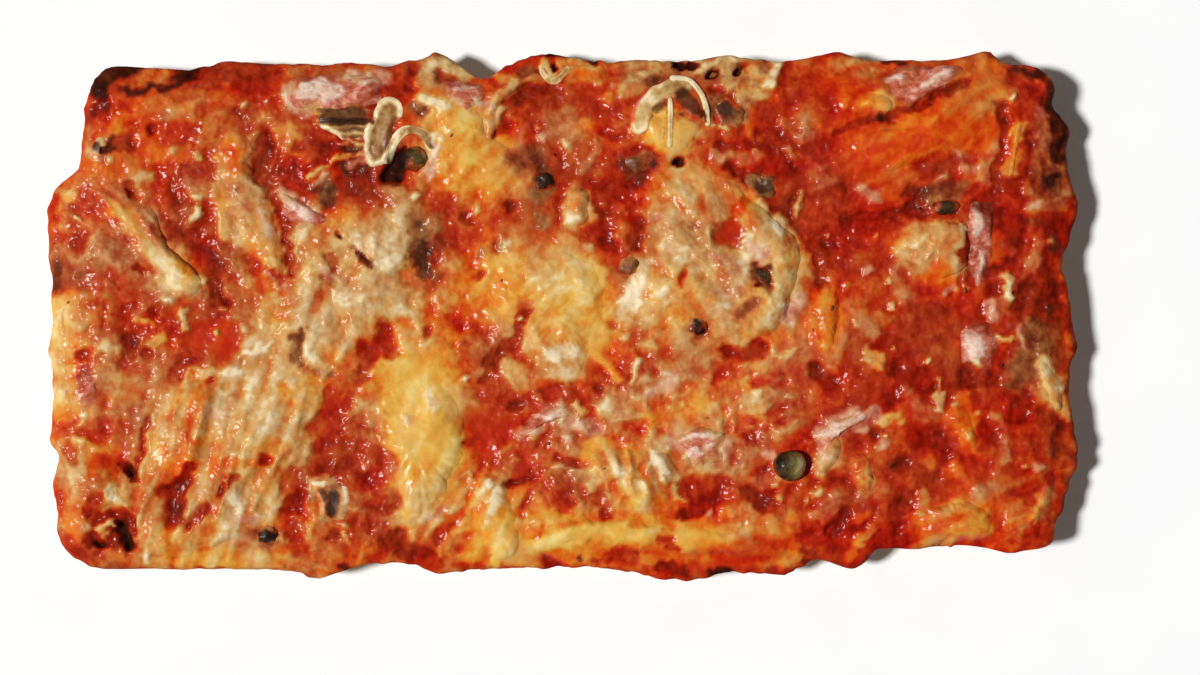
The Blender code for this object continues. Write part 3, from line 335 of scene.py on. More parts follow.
    ("brown", 0.75, ((2, 84, -6, 82.6, -10.6), (1.2, 86, -2), (0.9, 58.4, -43), (0.6, 64, -42, 68, -41.6),
        (1, 88, 1))),
    ("amber", 0.85, ((1.9, 70, -28.2), (1.5, 66, -26), (1.9, 66.6, -38.2, 73.6, -38), (1.6, 70, -34.4),
        (1.3, 47, -5.6), (1.5, 45.6, -2), (1.1, 54, -40, 52, -43.6), (1.3, 72, -14.6), (1.1, 92, -4.6),
        (1.2, 31, -43.4), (1.1, 36.6, -36.6, 40.6, -38.4, 42, -42), (1.3, 54, -36.6), (1.3, 41, -36),
        (1, 31, -37, 34, -41.6))),
    ("beige", 0.85, ((1.6, 48.2, -24.6), (1.3, 54.4, -29), (1.1, 57.4, -18.4, 60.6, -19), (1.6, 73, -21),
        (1.2, 33, -12, 35.8, -17.6), (1.1, 80.6, -37.8, 85, -36.6, 87, -32.6), (1.5, 86.2, -9, 88.4, -12),
        (1.2, 90, -15, 91.2, -18.2), (1, 65, -31.6, 65, -35), (1, 55.4, -6.6, 57.6, -9), (1.4, 34.4, -1.4),
        (0.9, 32, -37.6, 37, -44.6), (0.9, 56, -38.6, 53.6, -41.6))),
    # Mostly painted glints, with a few pale bits of cheese and ham fat
    ("ivory_and_glint", 0.9, ((1.1, 48.4, -20.2, 52.4, -18.6), (0.9, 46, -22.4), (1, 46.8, -31.6),
        (0.7, 38, -6.6, 41, -6.8), (1.2, 74, -6.6, 74.4, -8.4), (0.5, 79.4, -4), (0.5, 68, -3.2),
        (0.6, 40, 0, 41.6, 2.6), (0.5, 52.4, -0.6), (0.6, 32.8, -8.2), (0.5, 41.2, -14.8),
        (0.5, 33.8, -20), (0.6, 73, -21.6), (0.6, 68.6, -13.4, 67.6, -17), (0.5, 65.8, -7.4),
        (0.5, 76.6, -8.8), (0.7, 85.6, -35.6), (0.6, 55, -8), (0.5, 57.6, -22), (0.5, 83.6, -27.6),
        (0.5, 44, -33.6), (0.5, 39, -32.8), (0.5, 74.4, -17.6), (0.6, 64.6, -35.4), (0.5, 70.6, -15.6),
        (0.5, 38, -30.6), (0.5, 59, -6), (0.5, 66, -1.8))),
    # Crumbs and bits of ham, and a few painted glints
    ("pink", 0.75, ((1.4, 56, -17.4, 53, -20), (1.2, 37, -25.4), (1.5, 76.4, -4.6), (1.1, 82.4, -3),
        (1, 85.6, -27.4), (0.8, 57.6, -23.4), (0.9, 77.4, 1))),
    ("char", 0.85, ((0.9, 43.6, -46.2, 46.6, -46), (0.7, 60, -42.6, 57.6, -44), (0.5, 59.4, -27.2),
        (0.6, 27.6, -47))),
    # Round the gilled mushroom and its strips
    ("brown", 0.8, ((1.8, -35, 35.6, -31.6, 33.6), (1.2, -37, 27.4, -35.6, 26.6),
        (1.3, -30, 32, -31, 29.4))),
    ("olive", 0.9, ((0.5, -39, 30.2, -34.8, 30.1), (1.2, -38.8, 26.2), (1.1, -42.6, 23.6, -41.6, 21.4),
        (1.2, -25.2, 36.4))),
    ("hole", 0.95, ((1.8, -29.6, 25.6, -29.2, 28.2),)),
    ("deep", 0.9, ((1.2, -27, 40.8), (0.9, -21, 42.8, -18.8, 42.2))),
    ("ivory_and_glint", 0.85, ((0.4, -39, 31.2, -35, 31.3), (0.4, -39, 29, -35.2, 29.1),
        (0.7, -40.4, 28.4, -38.8, 28.2), (1, -24.6, 38.6, -21.6, 37.2), (0.7, -26, 21.8),
        (0.5, -22.8, 32.6, -21.4, 31.4))),
    ("pink", 0.8, ((0.9, -37.6, 27, -35.4, 27.4), (0.6, -44.6, 23.4, -42.8, 25),
        (0.8, -22.6, 30, -22.4, 27, -24, 24.4))),
    ("gold", 0.85, ((2.2, -20.6, 35, -18, 32.4), (1.8, -18, 28, -14, 26.4))),
    ("yellow", 0.7, ((1.6, -17.6, 33.4), (1.2, -15.4, 27.6))),
    # Round the slice with its stem, and the crust behind it
    ("gold", 0.9, ((2.4, 16.6, 34.6, 19, 31), (1.8, 22.4, 34, 20.4, 30.6))),
    ("brown", 0.85, ((1, 14.8, 43, 17, 42.6), (2.2, 28, 37.4, 31.4, 36.6), (1.6, 11.5, 27.4, 14, 25.6),
        (1.4, 33.4, 24.2, 36.6, 23.6))),
    ("hole", 0.95, ((0.7, 21.2, 44.4, 24, 45), (0.7, 27.7, 43), (0.6, 31.4, 44.2, 32, 43),
        (0.8, 20.7, 27.2))),
    ("moss", 0.85, ((1.5, 28.4, 46, 31.2, 45.4),)),
    # Pale strips of cheese at the back edge, and painted highlights: a line on the dark mushroom and a dot
    ("ivory_and_glint", 0.9, ((0.6, 24.6, 43.6, 27.6, 46), (1, 38.8, 46, 37.8, 41.2), (0.4, 27.2, 34, 29.2, 33.5),
        (0.5, 14.4, 44.1))),
    ("tan", 0.8, ((1.2, 10.6, 40.6, 14, 41.2), (1.1, 33.4, 45, 36, 43), (1.2, 32.6, 40.6, 36.6, 39.4),
        (1, 32.8, 38, 33.4, 35))),
    ("red", 0.8, ((1.9, 36.6, 37, 37.6, 31), (1.6, 39.6, 28, 41, 24), (1.6, 44, 33, 46, 26))),
    ("salmon", 0.9, ((1.2, 27.6, 29.4, 35.6, 27.6), (0.7, 40.4, 31, 41.6, 28.4),
        (0.7, 43.6, 35.6, 44.4, 31.6))),
    # The upper right corner
    ("deep", 0.9, ((0.8, 79, 33.4, 79, 25), (1, 85.6, 24.4, 86.2, 22.6), (1.3, 84, 5, 82.4, 1.6),
        (0.7, 72.4, 16, 72.4, 7), (0.7, 77.4, 16, 76.6, 6), (1.4, 87, 4, 85, 1))),
    ("red", 0.85, ((2.2, 82, 41.6, 84, 38), (1, 84, 33, 84, 27), (1.5, 73.4, 27.4),
        (1.6, 68, 24.4, 70, 26.6), (2.4, 80, 14, 80, 9), (1.4, 85.6, 15, 85.4, 10), (2.6, 67, 0, 70, -6),
        (1.4, 75.4, 4.6, 79, 4.4))),
    ("orange", 0.85, ((1.5, 77.4, 44.6, 75.8, 40), (1.8, 74.6, 35.4, 77, 33.4), (0.9, 92, -4.6),
        (1.3, 78.6, 14, 78, 10), (1.2, 66, 6.6, 70, 5.6), (0.9, 90.4, 8, 90.6, 3))),
    ("salmon", 0.85, ((1, 77.6, 31, 76.4, 26, 76, 23.6), (0.8, 87, 34.6, 87.4, 28),
        (1, 86.4, 19.4, 90.8, 20.2, 91.6, 22.8), (0.6, 68.8, 24.6, 66.2, 21.8), (0.7, 72.4, 9, 72.8, 5.4),
        (0.6, 79.8, 12.6, 80.2, 10.6))),
    ("pink", 0.85, ((0.7, 68.4, 3.8, 69.8, 5.4), (1.3, 76.6, 1.2, 77.6, 1.8),
        (0.9, 82.2, -2.4, 83.4, -5.6), (0.5, 73, 17, 74, 16.6))),
    ("mauve", 0.8, ((1.3, 73.4, -2.4, 76.8, -4), (1, 77, -7, 76.6, -9.4), (0.8, 80, -1.6))),
    # Pale ridges and streaks, and small painted glints
    ("ivory_and_glint", 0.9, ((0.8, 79.8, 6.4, 81.2, 3.2), (0.8, 71.6, 15.6, 71.4, 11.4),
        (0.7, 78.6, -3.8, 80.2, -4.4), (0.4, 81, 38.8), (0.4, 85, 12.6), (0.4, 87.4, 13.4),
        (0.4, 66, -7.6), (0.4, 67.6, -12, 67.4, -14.4), (0.5, 70.2, -15.4))),
    ("brown", 0.85, ((1.6, 84, -3, 86.6, -6), (1.3, 82.6, -9, 82, -13), (1.2, 80, -12.4))),
    ("beige", 0.9, ((1.4, 86.4, -8.4, 88.4, -12.4, 90, -15.6),)),
    # The whitest places, pale cheese and partly painted glints, the red pool on the right flap, and olive
    # spots, the one down the beige patch's right edge being painted shade
    ("white", 0.85, ((1.1, -24, 38.4, -21.6, 37.4), (0.9, -36, 12.6), (1, -39.6, 6.4, -38, 3.4),
        (1.9, 14.6, 7.4, 12.4, 2), (1.3, 18.6, 3), (1.3, -1.6, -7.2, 1.4, -6.4), (1, 2.6, 17.4),
        (1.2, 33, 9.6), (1, -44.6, -7.4), (0.8, 22, 12), (0.8, 29, 1.6), (0.8, -81.4, -31.4, -80, -33),
        (0.9, -86, -18.4), (0.7, -12.6, -29.4, -14, -31.6), (0.7, 17.4, -25.6, 18.8, -28.4),
        (0.7, 63.6, 12.6), (0.6, 39.4, 45.4, 38, 42), (0.8, -22.6, -16.6, -23.6, -14))),
    ("red", 0.95, ((2.3, 29.4, 14.6), (1, 22.2, 7.6))),
    ("brown", 0.75, ((2, 24.8, -2.2), (2.2, -52.8, -39.8), (2.4, -3, 23.4), (1.6, 66.6, 21.2, 71.4, 22.4),
        (1.9, 36.6, 6.8))),
    ("pink", 0.75, ((2.2, 21.6, -21.6, 28.6, -24.4), (1.5, 2, -19, 6, -21), (1.8, 46.6, -21, 52.6, -18.2),
        (1.2, -49, 40, -46, 37), (1.1, 40.4, -1.4, 42.6, 3.4), (1.2, 17.6, -13.4, 20, -10.6))),
    ("ember", 0.7, ((1.2, -64, 30, -60, 40), (1, -72, 24, -70, 18), (2.6, 46, 25, 47, 20))),
    ("salmon", 0.45, ((3, -64, 24), (3, 0, 34), (2.4, -45, 4))),
    ("deep", 0.55, ((2.2, 60, -3, 62, -6), (2.2, 8, 17, 8, 14))),
    ("red", 0.6, ((3, 47, 38), (1.6, 40, 37))),
    ("beige", 0.4, ((6, -2, 6, 5, -1), (2.5, -90, 2, -90, -14), (2.4, -30, 22, -28, 14))),
    ("salmon", 0.8, ((1.4, 44, 32, 47, 24), (1.2, 52, 2, 56, -4), (1.4, 62, -14, 66, -18),
        (1.2, 78, -18, 80, -26), (1.4, 36, -30, 40, -27), (1.2, 84, 8, 86, 14), (1.2, 60, 8, 62, 3),
        (1, 74, -32, 78, -31), (1.3, 46, -36, 50, -33), (1.2, -8, 30, -6, 34), (1, 4, 26, 7, 31))),
    # A cluster of painted glints on the crumbs of ham
    ("ivory_and_glint", 0.8, ((0.5, 22.4, -20.4), (0.5, 24.6, -22.6), (0.5, 27, -22.4), (0.5, 26, -25.6),
        (0.5, 29, -24.6), (0.5, 23, -25), (0.5, 3.4, -18.4), (0.5, 5.6, -20.6), (0.5, 0, -18.6))),
    ("pool", 0.7, ((2.8, -15.6, -19, -11, -20.6), (1.6, -14, -24))),
    ("olive", 0.6, ((1.6, 35, 7.6, 37, 5.2), (1.4, -25.4, 13.4, -25.4, 9), (1.2, 31, 37, 33, 36))),
    ("gold", 0.8, ((2.4, -21, -30, -25, -34), (1.6, -12.6, -36, -16, -43), (1.2, -7, -31, -9.4, -37))),
    ("yellow", 0.9, ((2.2, 17.4, 34, 19, 30.6), (1.6, 22.4, 33.6, 20.8, 30.8))),
    ("orange", 0.85, ((1.8, 29, -43, 38, -43.6), (1.2, 36, -40, 41, -41), (1.4, 24.6, 20.6, 26, 17),
        (1, 31, 18.6, 32.6, 20))),
    ("pink", 0.8, ((0.9, 45.8, -21.6, 47.2, -26), (1, 50, -19, 56, -17))),
    ("beige", 0.85, ((0.7, -18, -31, -23.6, -39), (0.7, -13.4, -30.6, -18.6, -39.4),
        (0.6, -9, -33.6, -13.4, -42.4))),
    ("ivory_and_glint", 0.8, ((0.6, -16, -29.4, -19.4, -35), (0.5, -11.4, -31.4, -14.6, -37.6))),
    ("moss", 0.42, ((6, -46, 11, -38, 8), (4, 24, 14, 30, 8), (3, 64, 11))),
    ("ivory_and_glint", 0.25, ((5, 0, 4, 5, -1), (3, -90.5, -2, -90.5, -12))),
    ("gold", 0.35, ((3, -73, 12, -66, 7), (1.6, -70, -43.6, -48, -44.6), (1, -17, -38, -13, -44.6),
        (1, -12.4, -38.4, -9, -45))),
    ("tan", 0.35, ((4, 72, -36, 80, -38),)),
    ("amber", 0.3, ((5, -79, -12, -75, -12), (5, 20, -17, 30, -17))),
    ("white", 0.6, ((0.9, -45.6, -30.6, -42.6, -29.8), (0.7, -39.4, -40, -38.6, -41),
        (1.3, -44, -6.4, -42, -10))),
    # Pale and dark spots on the patches, and painted shade: dark sauce along the edges of the flaps and
    # dark olive down the beige patch's right edge
    ("ivory_and_glint", 0.6, ((1.8, -45, 13.5, -41, 14.5), (1.9, -33.5, 12, -30, 9), (1.5, -38.5, 4, -34, 1),
        (1.7, -30, 4, -31, -1), (1.4, -46, 8, -46, 3), (1.4, 20, 23, 24, 21), (1.4, 19, 14, 22, 10),
        (1.1, 36, 20, 39, 15), (1.4, 39, 4, 37, -2), (1.1, 26, 2, 30, -1))),
    ("pink", 0.6, ((0.9, -42.6, 8.4, -40.6, 6.4), (0.8, 27, 10, 31, 8.6), (0.8, 33, 12.5, 36, 11),
        (0.7, -53.6, 18, -52, 14))),
    ("pool", 0.95, ((2.2, 29.6, 14.2, 30.4, 15),)),
    ("olive", 0.8, ((0.7, 34.4, 9, 36, 7.6), (1.1, -25.4, 17, -25, 7), (0.5, -48.7, 10),
        (0.6, -46.8, -3.2, -47, -6))),
    ("char", 0.95, ((0.9, -36.4, 11, -34.2, 8.2), (0.5, -39.3, 13.8))),
    ("deep", 0.8, ((0.6, -52.6, 24, -50, 18, -48.7, 12.5, -49, 7),
        (1, 30.5, 27.4, 38, 20.6, 45.2, 13.2, 46.6, 6.4), (0.6, -76, -29, -75.2, -23, -73.6, -17.6))),
    ("beige", 0.85, ((0.9, -74.6, -28, -73.8, -23, -71.8, -18, -68.8, -14.4, -65.6, -10.8),)),
    ("orange", 0.4, ((2.4, -79, -13, -79.4, -26), (1.6, 78, -34, 80, -30))),
    ("gold", 0.8, ((2.4, -8.5, -38.5, -7, -43.5), (1.1, -17.5, -44, -11.3, -35.5), (1, -22, -43, -16, -36),
        (1.3, -68, -44, -50, -44.6))),
    ("yellow", 0.8, ((0.9, -11.8, -45, -10, -36), (1.2, -5, -41.4, 1, -40.4))),
    ("crumple", 0.65, ((3, -35, -17, -33.4, -30), (2.2, -36, -33, -33, -38))),
    ("red", 0.85, ((1.2, -46.4, -30.9, -42.7, -24.5, -39.1, -16.4, -34, -7.6, -31, -3),)),
    ("ivory_and_glint", 0.45, ((2.6, -31.4, 12, -30.4, 3),)),
)

# Places where the sauce is cooked darker or stays lighter: amount, radius and place
COOKED = (
    (-0.07, 26, 76, 12), (-0.08, 22, 72, -28), (-0.06, 16, 46, 30), (-0.05, 18, 46, -30),
    (-0.07, 14, -74, -28), (-0.1, 15, -46, 2), (-0.05, 12, -70, 26), (0.03, 10, -50, -8),
    (-0.05, 16, 22, 30), (-0.05, 12, 0, -14), (-0.05, 14, -44, 30), (0.06, 16, 76, 0), (-0.03, 14, 76, 32),
    (-0.05, 7, -35, 8), (-0.05, 5, -41, 15), (-0.09, 9, -66, -25), (-0.08, 7, -57, -37),
    (-0.03, 6, -53, -24), (-0.16, 5, 28, 20), (-0.06, 6, 21, 12), (-0.07, 6, 31, 2), (-0.06, 5, 66, 11),
    (-0.17, 6, 33, -42), (0.07, 5, -70, 9), (0.04, 7, 27, -23), (-0.04, 7, 54, -30), (0.06, 8, 58, 2),
    (-0.08, 5, -84, -32), (-0.09, 6, 86, 8), (0.05, 7, 0, 34), (0.05, 5, 84, 34), (-0.03, 6, -43, 9),
    (-0.03, 7, 26, 8), (0.04, 9, 24, -17), (0.03, 6, -77, -12), (0.04, 5, -69, 8), (0.05, 5, -58, -44),
)
# Places where the rim bulges out or falls back: amount, radius and place
NUDGES = (
    # Back edge from the left
    (-1.6, 4, -84, 43.5), (1.6, 4, -59, 45), (-0.8, 6, -43, 46), (-1.4, 3, -32, 46), (1.6, 3, -20.5, 46),
    (1, 2, -17.4, 46), (-0.9, 2.5, -13, 44), (1.8, 5, -2, 46), (1.5, 4, 30, 46), (2.2, 4, 49, 46),
    (1.4, 2.5, 76, 47), (-1.6, 3, 82, 45.5), (-1.5, 3.5, 88, 43.5),
    # Front edge
    (1.8, 3, -43, -46), (-1, 2.5, -36, -46), (1, 6, -20, -45), (0.9, 8, 22, -47), (1.6, 3.5, 39, -46),
    (-1.2, 2, 47.5, -45), (0.7, 3, 53, -46), (-3.4, 4, 60.5, -44), (-1.8, 8, 72, -43), (-3.4, 6, 81, -45),
    (-2, 5, 88, -41), (-4, 3, 88, -44),
    # Left and right edges
    (-0.6, 4, -87, -42), (-1, 3, -91, -36), (-1.6, 2.5, -91, -26), (0.6, 4, -92, 8), (0.8, 4, -91, 20),
    (-1.4, 2.5, -89, 27), (2.2, 7, 91, -26), (1.4, 2.5, 92, -5), (-1.2, 3, 92, 10), (1.1, 3, 92, 20),
    (1.6, 4, 89, 32), (-2.4, 3, 91.5, 39),
)
# Where the cheese was pulled into strands: their direction in degrees, their strength, and strokes
STRANDS = (
    (74, 1, ((8, -68, -16, -71, -44), (8, -57, -12, -62, -42))),
    (62, 1, ((6, -20, -28, -24, -44), (6, -9, -30, -13, -45))),
    (4, 1, ((3.5, -3, -39, 14, -38.5), (3.5, 14, -40.5, 42, -42))),
    (124, 0.7, ((8, 26, 18, 42, 2),)),
    (104, 0.8, ((6, -57, 30, -51, 8),)),
    (30, 0.9, ((7, 50, 27, 76, 37),)),
    (64, 0.8, ((7, -44, 14, -40, -2), (6, -52, -6, -50, -28))),
    (132, 0.8, ((6, -80, 22, -66, 6),)),
    (112, 1, ((6, 12, -27, 22, -34),)),
    (80, 0.7, ((5, 48, 6, 50, -12), (4, 76, 24, 80, -8), (4, 84, 32, 84, 4))),
    (28, 0.8, ((5, 36, -14, 40, -20), (6, 66, -38, 84, -34), (4, 44, -22, 58, -18))),
    (8, 0.7, ((4, -80, 36, -62, 36), (3, -26, 45, 26, 45), (3, 30, 44, 60, 44))),
    (45, 0.8, ((6, -18, 30, -12, 24), (5, -2, 6, 8, 2))),
)

# Pieces of melted cheese that spread from a middle: look and how strongly it covers, thickness,
# free lip, the way that the lip faces in degrees, and height, size and direction of the folds
BLOTS = {
    "cheese_upper_left_flap": ("salmon", 0.6, 1.0, 0.25, 20, 0.3, 5.0, 120),
    "cheese_left_corner": ("tan", 0.6, 0.8, 0, 0, 0.3, 4.0, 20),
    "cheese_left_flap": ("beige", 0.85, 1.4, 0.5, 165, 0.6, 5.0, 66),
    "cheese_beige_patch": ("beige", 0.9, 0.9, 0, 0, 0.3, 4.5, 100),
    "cheese_centre_pool": ("gold", 0.85, 0.8, 0, 0, 0.2, 8.0, 60),
    "cheese_middle": ("gold", 0.8, 0.9, 0, 0, 0.3, 7.0, 130),
    "cheese_under_mushroom": ("gold", 0.9, 0.9, 0, 0, 0.2, 5.0, 90),
    "cheese_right_flap": ("beige", 0.9, 1.5, 0.5, 10, 0.4, 5.0, 130),
    "cheese_right_seam": ("orange", 0.8, 0.8, 0, 0, 0.2, 4.0, 90),
    "cheese_back_right_sheet": ("orange", 0.9, 1.0, 0, 0, 0.3, 9.0, 30),
    "cheese_right_patch": ("beige", 0.85, 1.0, 0.3, 0, 0.3, 4.0, 80),
    "cheese_front_pool": ("yellow", 0.9, 1.1, 0, 0, 0.4, 7.0, 60),
    "cheese_front_middle": ("tan", 0.8, 1.0, 0, 0, 0.5, 3.6, 100),
    "cheese_front_right": ("tan", 0.7, 0.9, 0, 0, 0.3, 3.5, 60),
    "cheese_right_corner": ("amber", 0.9, 1.1, 0, 0, 0.3, 5.0, 0),
}
# Strips and strings of cheese: look and how strongly it covers, thickness, width and spine
RIBBONS = {
    "cheese_left_edge": ("gold", 0.5, 0.25, 4.2, (-90, 3, -90, -5, -89.5, -13, -89, -19)),
    "cheese_ribbon": ("tan", 0.75, 0.8, 9.0, (-58.3, 33, -58, 25, -54.5, 16, -51, 6)),
    "cheese_back_curl": ("tan", 0.8, 1.0, 3.4, (-12.5, 31, -12.3, 37, -8, 41.5, -1, 43.5, 8, 44)),
    "cheese_small_oval": ("beige", 0.9, 0.9, 5.0, (3.5, 23, 3.1, 19, 3, 16)),
    "cheese_back_lump": ("gold", 0.9, 0.9, 3.6, (53.5, 38, 56.5, 38.3, 59.5, 36.8)),
    "cheese_right_stripe": ("tan", 0.5, 0.25, 2.8, (82.5, 35, 81.5, 30, 80.5, 24)),
    "cheese_right_edge": ("beige", 0.8, 0.5, 4.6, (85.5, -8, 88, -12, 90, -18.5)),
    "cheese_right_spot": ("amber", 0.8, 0.8, 4.2, (70, -17, 72.5, -20, 73.5, -24)),
    "cheese_front_folds": ("gold", 0.7, 0.8, 8.5, (-13.5, -29, -12, -36, -9.5, -44)),
    "cheese_front_strip": ("gold", 0.7, 0.6, 7.0, (-6, -38.5, 5, -38.8, 18, -40.5, 30, -41, 41, -42)),
    "cheese_beside_caper": ("beige", 0.85, 0.8, 5.2, (48.5, -21.5, 48, -25, 46, -29)),
    "cheese_corner_curl": ("salmon", 0.8, 1.2, 3.0, (80, -37.5, 84, -37, 87, -33, 88.5, -28)),
}
# Streaks of fat in the ham: half width and points
FAT = (
    (1.7, -46.5, 40.6, -41, 40.4), (0.5, -36, 41.8, -32, 42), (1, 65, 40.8, 70.6, 43.6),
    (0.6, 58, 41.5, 61, 42.5), (1, 74.6, 19.4, 74.8, 15), (0.5, 75.6, 11, 75.2, 6),
    (1.6, 73.8, -5, 74.4, -8.6), (0.6, 77, -8.6), (1.2, 46, -22, 53, -18.4), (0.8, -3, -18.4, 0, -17.2),
    (0.6, 21, -22, 28, -21.4), (0.5, 22.4, -25, 27, -23.6), (1.3, -48, 20.2, -45, 17.6), (0.7, -15.5, 38),
    (0.4, -19.5, 41, -15, 41.4),
)
# Marks on the mushrooms: tone from dark brown to cream, half width and points
MUSHROOM_MARKS = (
    (1, 0.45, -45, 33.8, -42, 33.7, -40, 32.5, -39, 31), (0.3, 1.2, -42, 36, -36, 36),
    (0.1, 0.5, -43, 35, -34, 34.6), (0.55, 1.1, -30.6, 36, -32.2, 33, -32.8, 29.6),
    (0.36, 0.6, -29.8, 35.4, -31, 32, -32, 29.4), (0.95, 0.5, -34.4, 34, -34.9, 30, -34, 27),
    (0.95, 0.5, -28.8, 33.4, -30, 30.6, -32, 27), (0.55, 1, -26.4, 33, -24, 31.6),
    (0.2, 1.5, 22, 39.2, 24, 37.4), (0.1, 0.6, 25.2, 36.4, 25.6, 35), (0.3, 0.8, 18, 37.4, 17, 36.6),
    (0.3, 0.8, 21.4, 35.6), (0.14, 0.8, 16.6, 27), (0.3, 1.5, 12.6, 27),
    # The pale line on the dark mushroom at the back is a painted highlight
    (0.85, 0.4, 27.4, 33.8, 29.4, 33.4), (0.15, 1.4, 29.5, 37), (0.2, 1.2, 36, 23),
    (0.1, 0.5, 30, 26, 38, 26), (0.9, 0.8, -84.6, 32, -83, 32.6), (0.2, 0.7, -83.6, 30.6, -82.4, 29.4),
    (1, 0.6, -45.4, -29.6, -42.6, -30.4), (0.08, 1.1, -40.8, -32.6, -41.2, -35.4),
    (0.3, 0.7, -43, -31.6, -42, -33), (1, 0.5, -38.8, -30.6, -38.2, -33.4),
    (1, 0.6, -38.8, -38.2, -41, -38), (0.45, 0.8, -42.8, -36.8), (0.85, 0.5, 11.6, 11.6, 14, 12.2),
    (0.2, 1, 14, 9),
)
# Slices of mushroom: tone, thickness, how much sauce runs over the rim, how ragged, gills, how much
# cheese covers the whole slice, and how far its outline is softened
MUSHROOMS = {
    "mushroom_gilled": (0.44, 0.7, 0.25, 0.5, 1, 0, 9),
    "mushroom_brown_strip": (0.3, 0.5, 0.9, 0.6, 0, 0.4, 9),
    "mushroom_back_dark": (0.32, 0.5, 0.5, 0.7, 0, 0.1, 9),
    "mushroom_dark_wedge": (0.24, 0.4, 0.4, 0.6, 0, 0, 9),
    "mushroom_front_left": (0.6, 0.5, 0.7, 0.8, 0, 0.2, 9),
    "mushroom_round": (0.3, 0.35, 0.6, 0.6, 0, 0.1, 12),
    "mushroom_left_bit": (0.6, 0.7, 0.5, 0.5, 0, 0, 9),
    "mushroom_umbrella": (0.5, 0.4, 0.2, 0.3, 0, 0.95, 1),
}
# Strips of mushroom: tone, thickness, width, how much paler and higher their rims are, and spine;
# the darker middle of a hollow strip is painted shade
MUSHROOM_STRIPS = {
    "mushroom_strip_outer": (0.5, 0.7, 6, 0.9, (-29.2, 38.6, -31.4, 35.6, -33, 31.6, -33.4, 26.6)),
    "mushroom_strip_inner": (
        0.5, 0.4, 2.2, 0.9, (-31.6, 27.2, -29.6, 31.4, -27.4, 33.2, -24.6, 32.4, -22.8, 29.6)),
    "mushroom_umbrella_cap": (0.7, 0.5, 4.2, 0.1, (14, 32.4, 14.8, 36.6, 17.2, 39.2, 20, 40.6, 23, 41.2)),
    "mushroom_umbrella_rim": (0.95, 0.4, 1.1, 0, (19.6, 42.6, 22.8, 42.3, 24.9, 40.2, 26, 37.4, 26.4, 34)),
    "mushroom_umbrella_stem": (0.8, 0.2, 1, 0, (19.6, 39, 19.7, 35.6, 19.5, 30)),
    "mushroom_curl_at_back": (0.8, 0.3, 1.2, 0, (-3.8, 45, -3, 43.2, -1.6, 42, 0, 42.8, 1.4, 44.6)),
}
# Capers and bits of olive: wrinkles, tone, how much paler to the right as painted light, size, how tall,
# how deep they sit
BUDS = {
    "caper_front_right": (0.05, 0.3, 0.75, 0.92, 0.8, 0.5),
    "caper_upper_left": (0.16, 0.2, 0.3, 0.75, 0.7, 0.7),
    "caper_on_flap": (0.13, -0.06, -0.1, 0.9, 0.5, 0.85),
    "caper_front_left": (0.15, -0.1, -0.1, 0.9, 0.5, 0.9),
    "caper_middle": (0.15, -0.04, -0.1, 0.95, 0.45, 0.9),
    "olive_right": (0.15, 0.05, 0.1, 0.85, 0.6, 0.8),
    "olive_on_flap": (0.15, 0.1, 0.1, 0.9, 0.5, 0.9),
}
# Flecks of herb: how many, their least and greatest size, and how flat they are
HERBS = 16
HERB_SIZES = (0.5, 1.1)
HERB_FLAT = 0.3


def smooth(low, high, value):
    """Rise from 0 to 1 between two values, without a kink."""
    t = np.clip((value - low) / (high - low), 0, 1)
    return t * t * (3 - 2 * t)


def between(table, i, j, k, m, f, g):
    """A value between four entries of a table, in columns i and k and rows j and m."""
    near = table[i, j] * (1 - f) + table[k, j] * f
    far = table[i, m] * (1 - f) + table[k, m] * f
    return near * (1 - g) + far * g


def noise(x, y, size, seed):
    """Random swells of a size in mm, from -1 to 1."""
    table = np.random.default_rng(seed).uniform(-1, 1, (TILES, TILES))
    u, v = x / size, y / size
    i, j = np.floor(u).astype(int), np.floor(v).astype(int)
    f, g = smooth(0, 1, u - i), smooth(0, 1, v - j)
    return between(table, i % TILES, j % TILES, (i + 1) % TILES, (j + 1) % TILES, f, g)


def turned(x, y, angle):
    """Distances along a direction and across it."""
    c, s = math.cos(angle), math.sin(angle)
    return c * x + s * y, c * y - s * x


def rough(x, y, size, seed, octaves=3):
    """Swells with smaller ones on them, each turned against the last."""
    total = 0
    for k in range(octaves):
        total = total + 0.55 ** k * noise(*turned(x, y, -1.1 * k - seed), size / 2.1 ** k, seed + 31 * k)
    return total


def grains(x, y, size, seed):
    """How near the closest of many scattered points is, from 1 on it to 0 far away."""
    table = np.random.default_rng(seed).uniform(0.1, 0.9, (2, TILES, TILES))
    i, j = np.floor(x / size).astype(int), np.floor(y / size).astype(int)
    nearest = np.full(np.shape(x), FAR)
    for di in (-1, 0, 1):
        for dj in (-1, 0, 1):
            u, v = table[:, (i + di) % TILES, (j + dj) % TILES]
            nearest = np.minimum(nearest, np.hypot(x - (i + di + u) * size, y - (j + dj + v) * size))
    return np.clip(1 - nearest / size, 0, 1)


def read(field, x, y):
    """A field's value between its cells."""
    u = np.clip((np.asarray(x) + REACH[0]) / CELL, 0, field.shape[0] - 1.001)
    v = np.clip((np.asarray(y) + REACH[1]) / CELL, 0, field.shape[1] - 1.001)
    i, j = u.astype(int), v.astype(int)
    return between(field, i, j, i + 1, j + 1, u - i, v - j)


def window(points, margin):
    """The part of the raster round some points, as two slices."""
    low = ((points.min(axis=0) - margin + REACH) / CELL).astype(int)
    high = ((points.max(axis=0) + margin + REACH) / CELL).astype(int) + 2
    (i, j), (k, m) = np.clip(low, 0, MAP_X.shape), np.clip(high, 0, MAP_X.shape)
    return slice(i, k), slice(j, m)


def firm(swell):
    """Swells with steeper sides, as between sauce and cheese that don't quite mix."""
    return 0.75 * np.tanh(1.9 * swell)


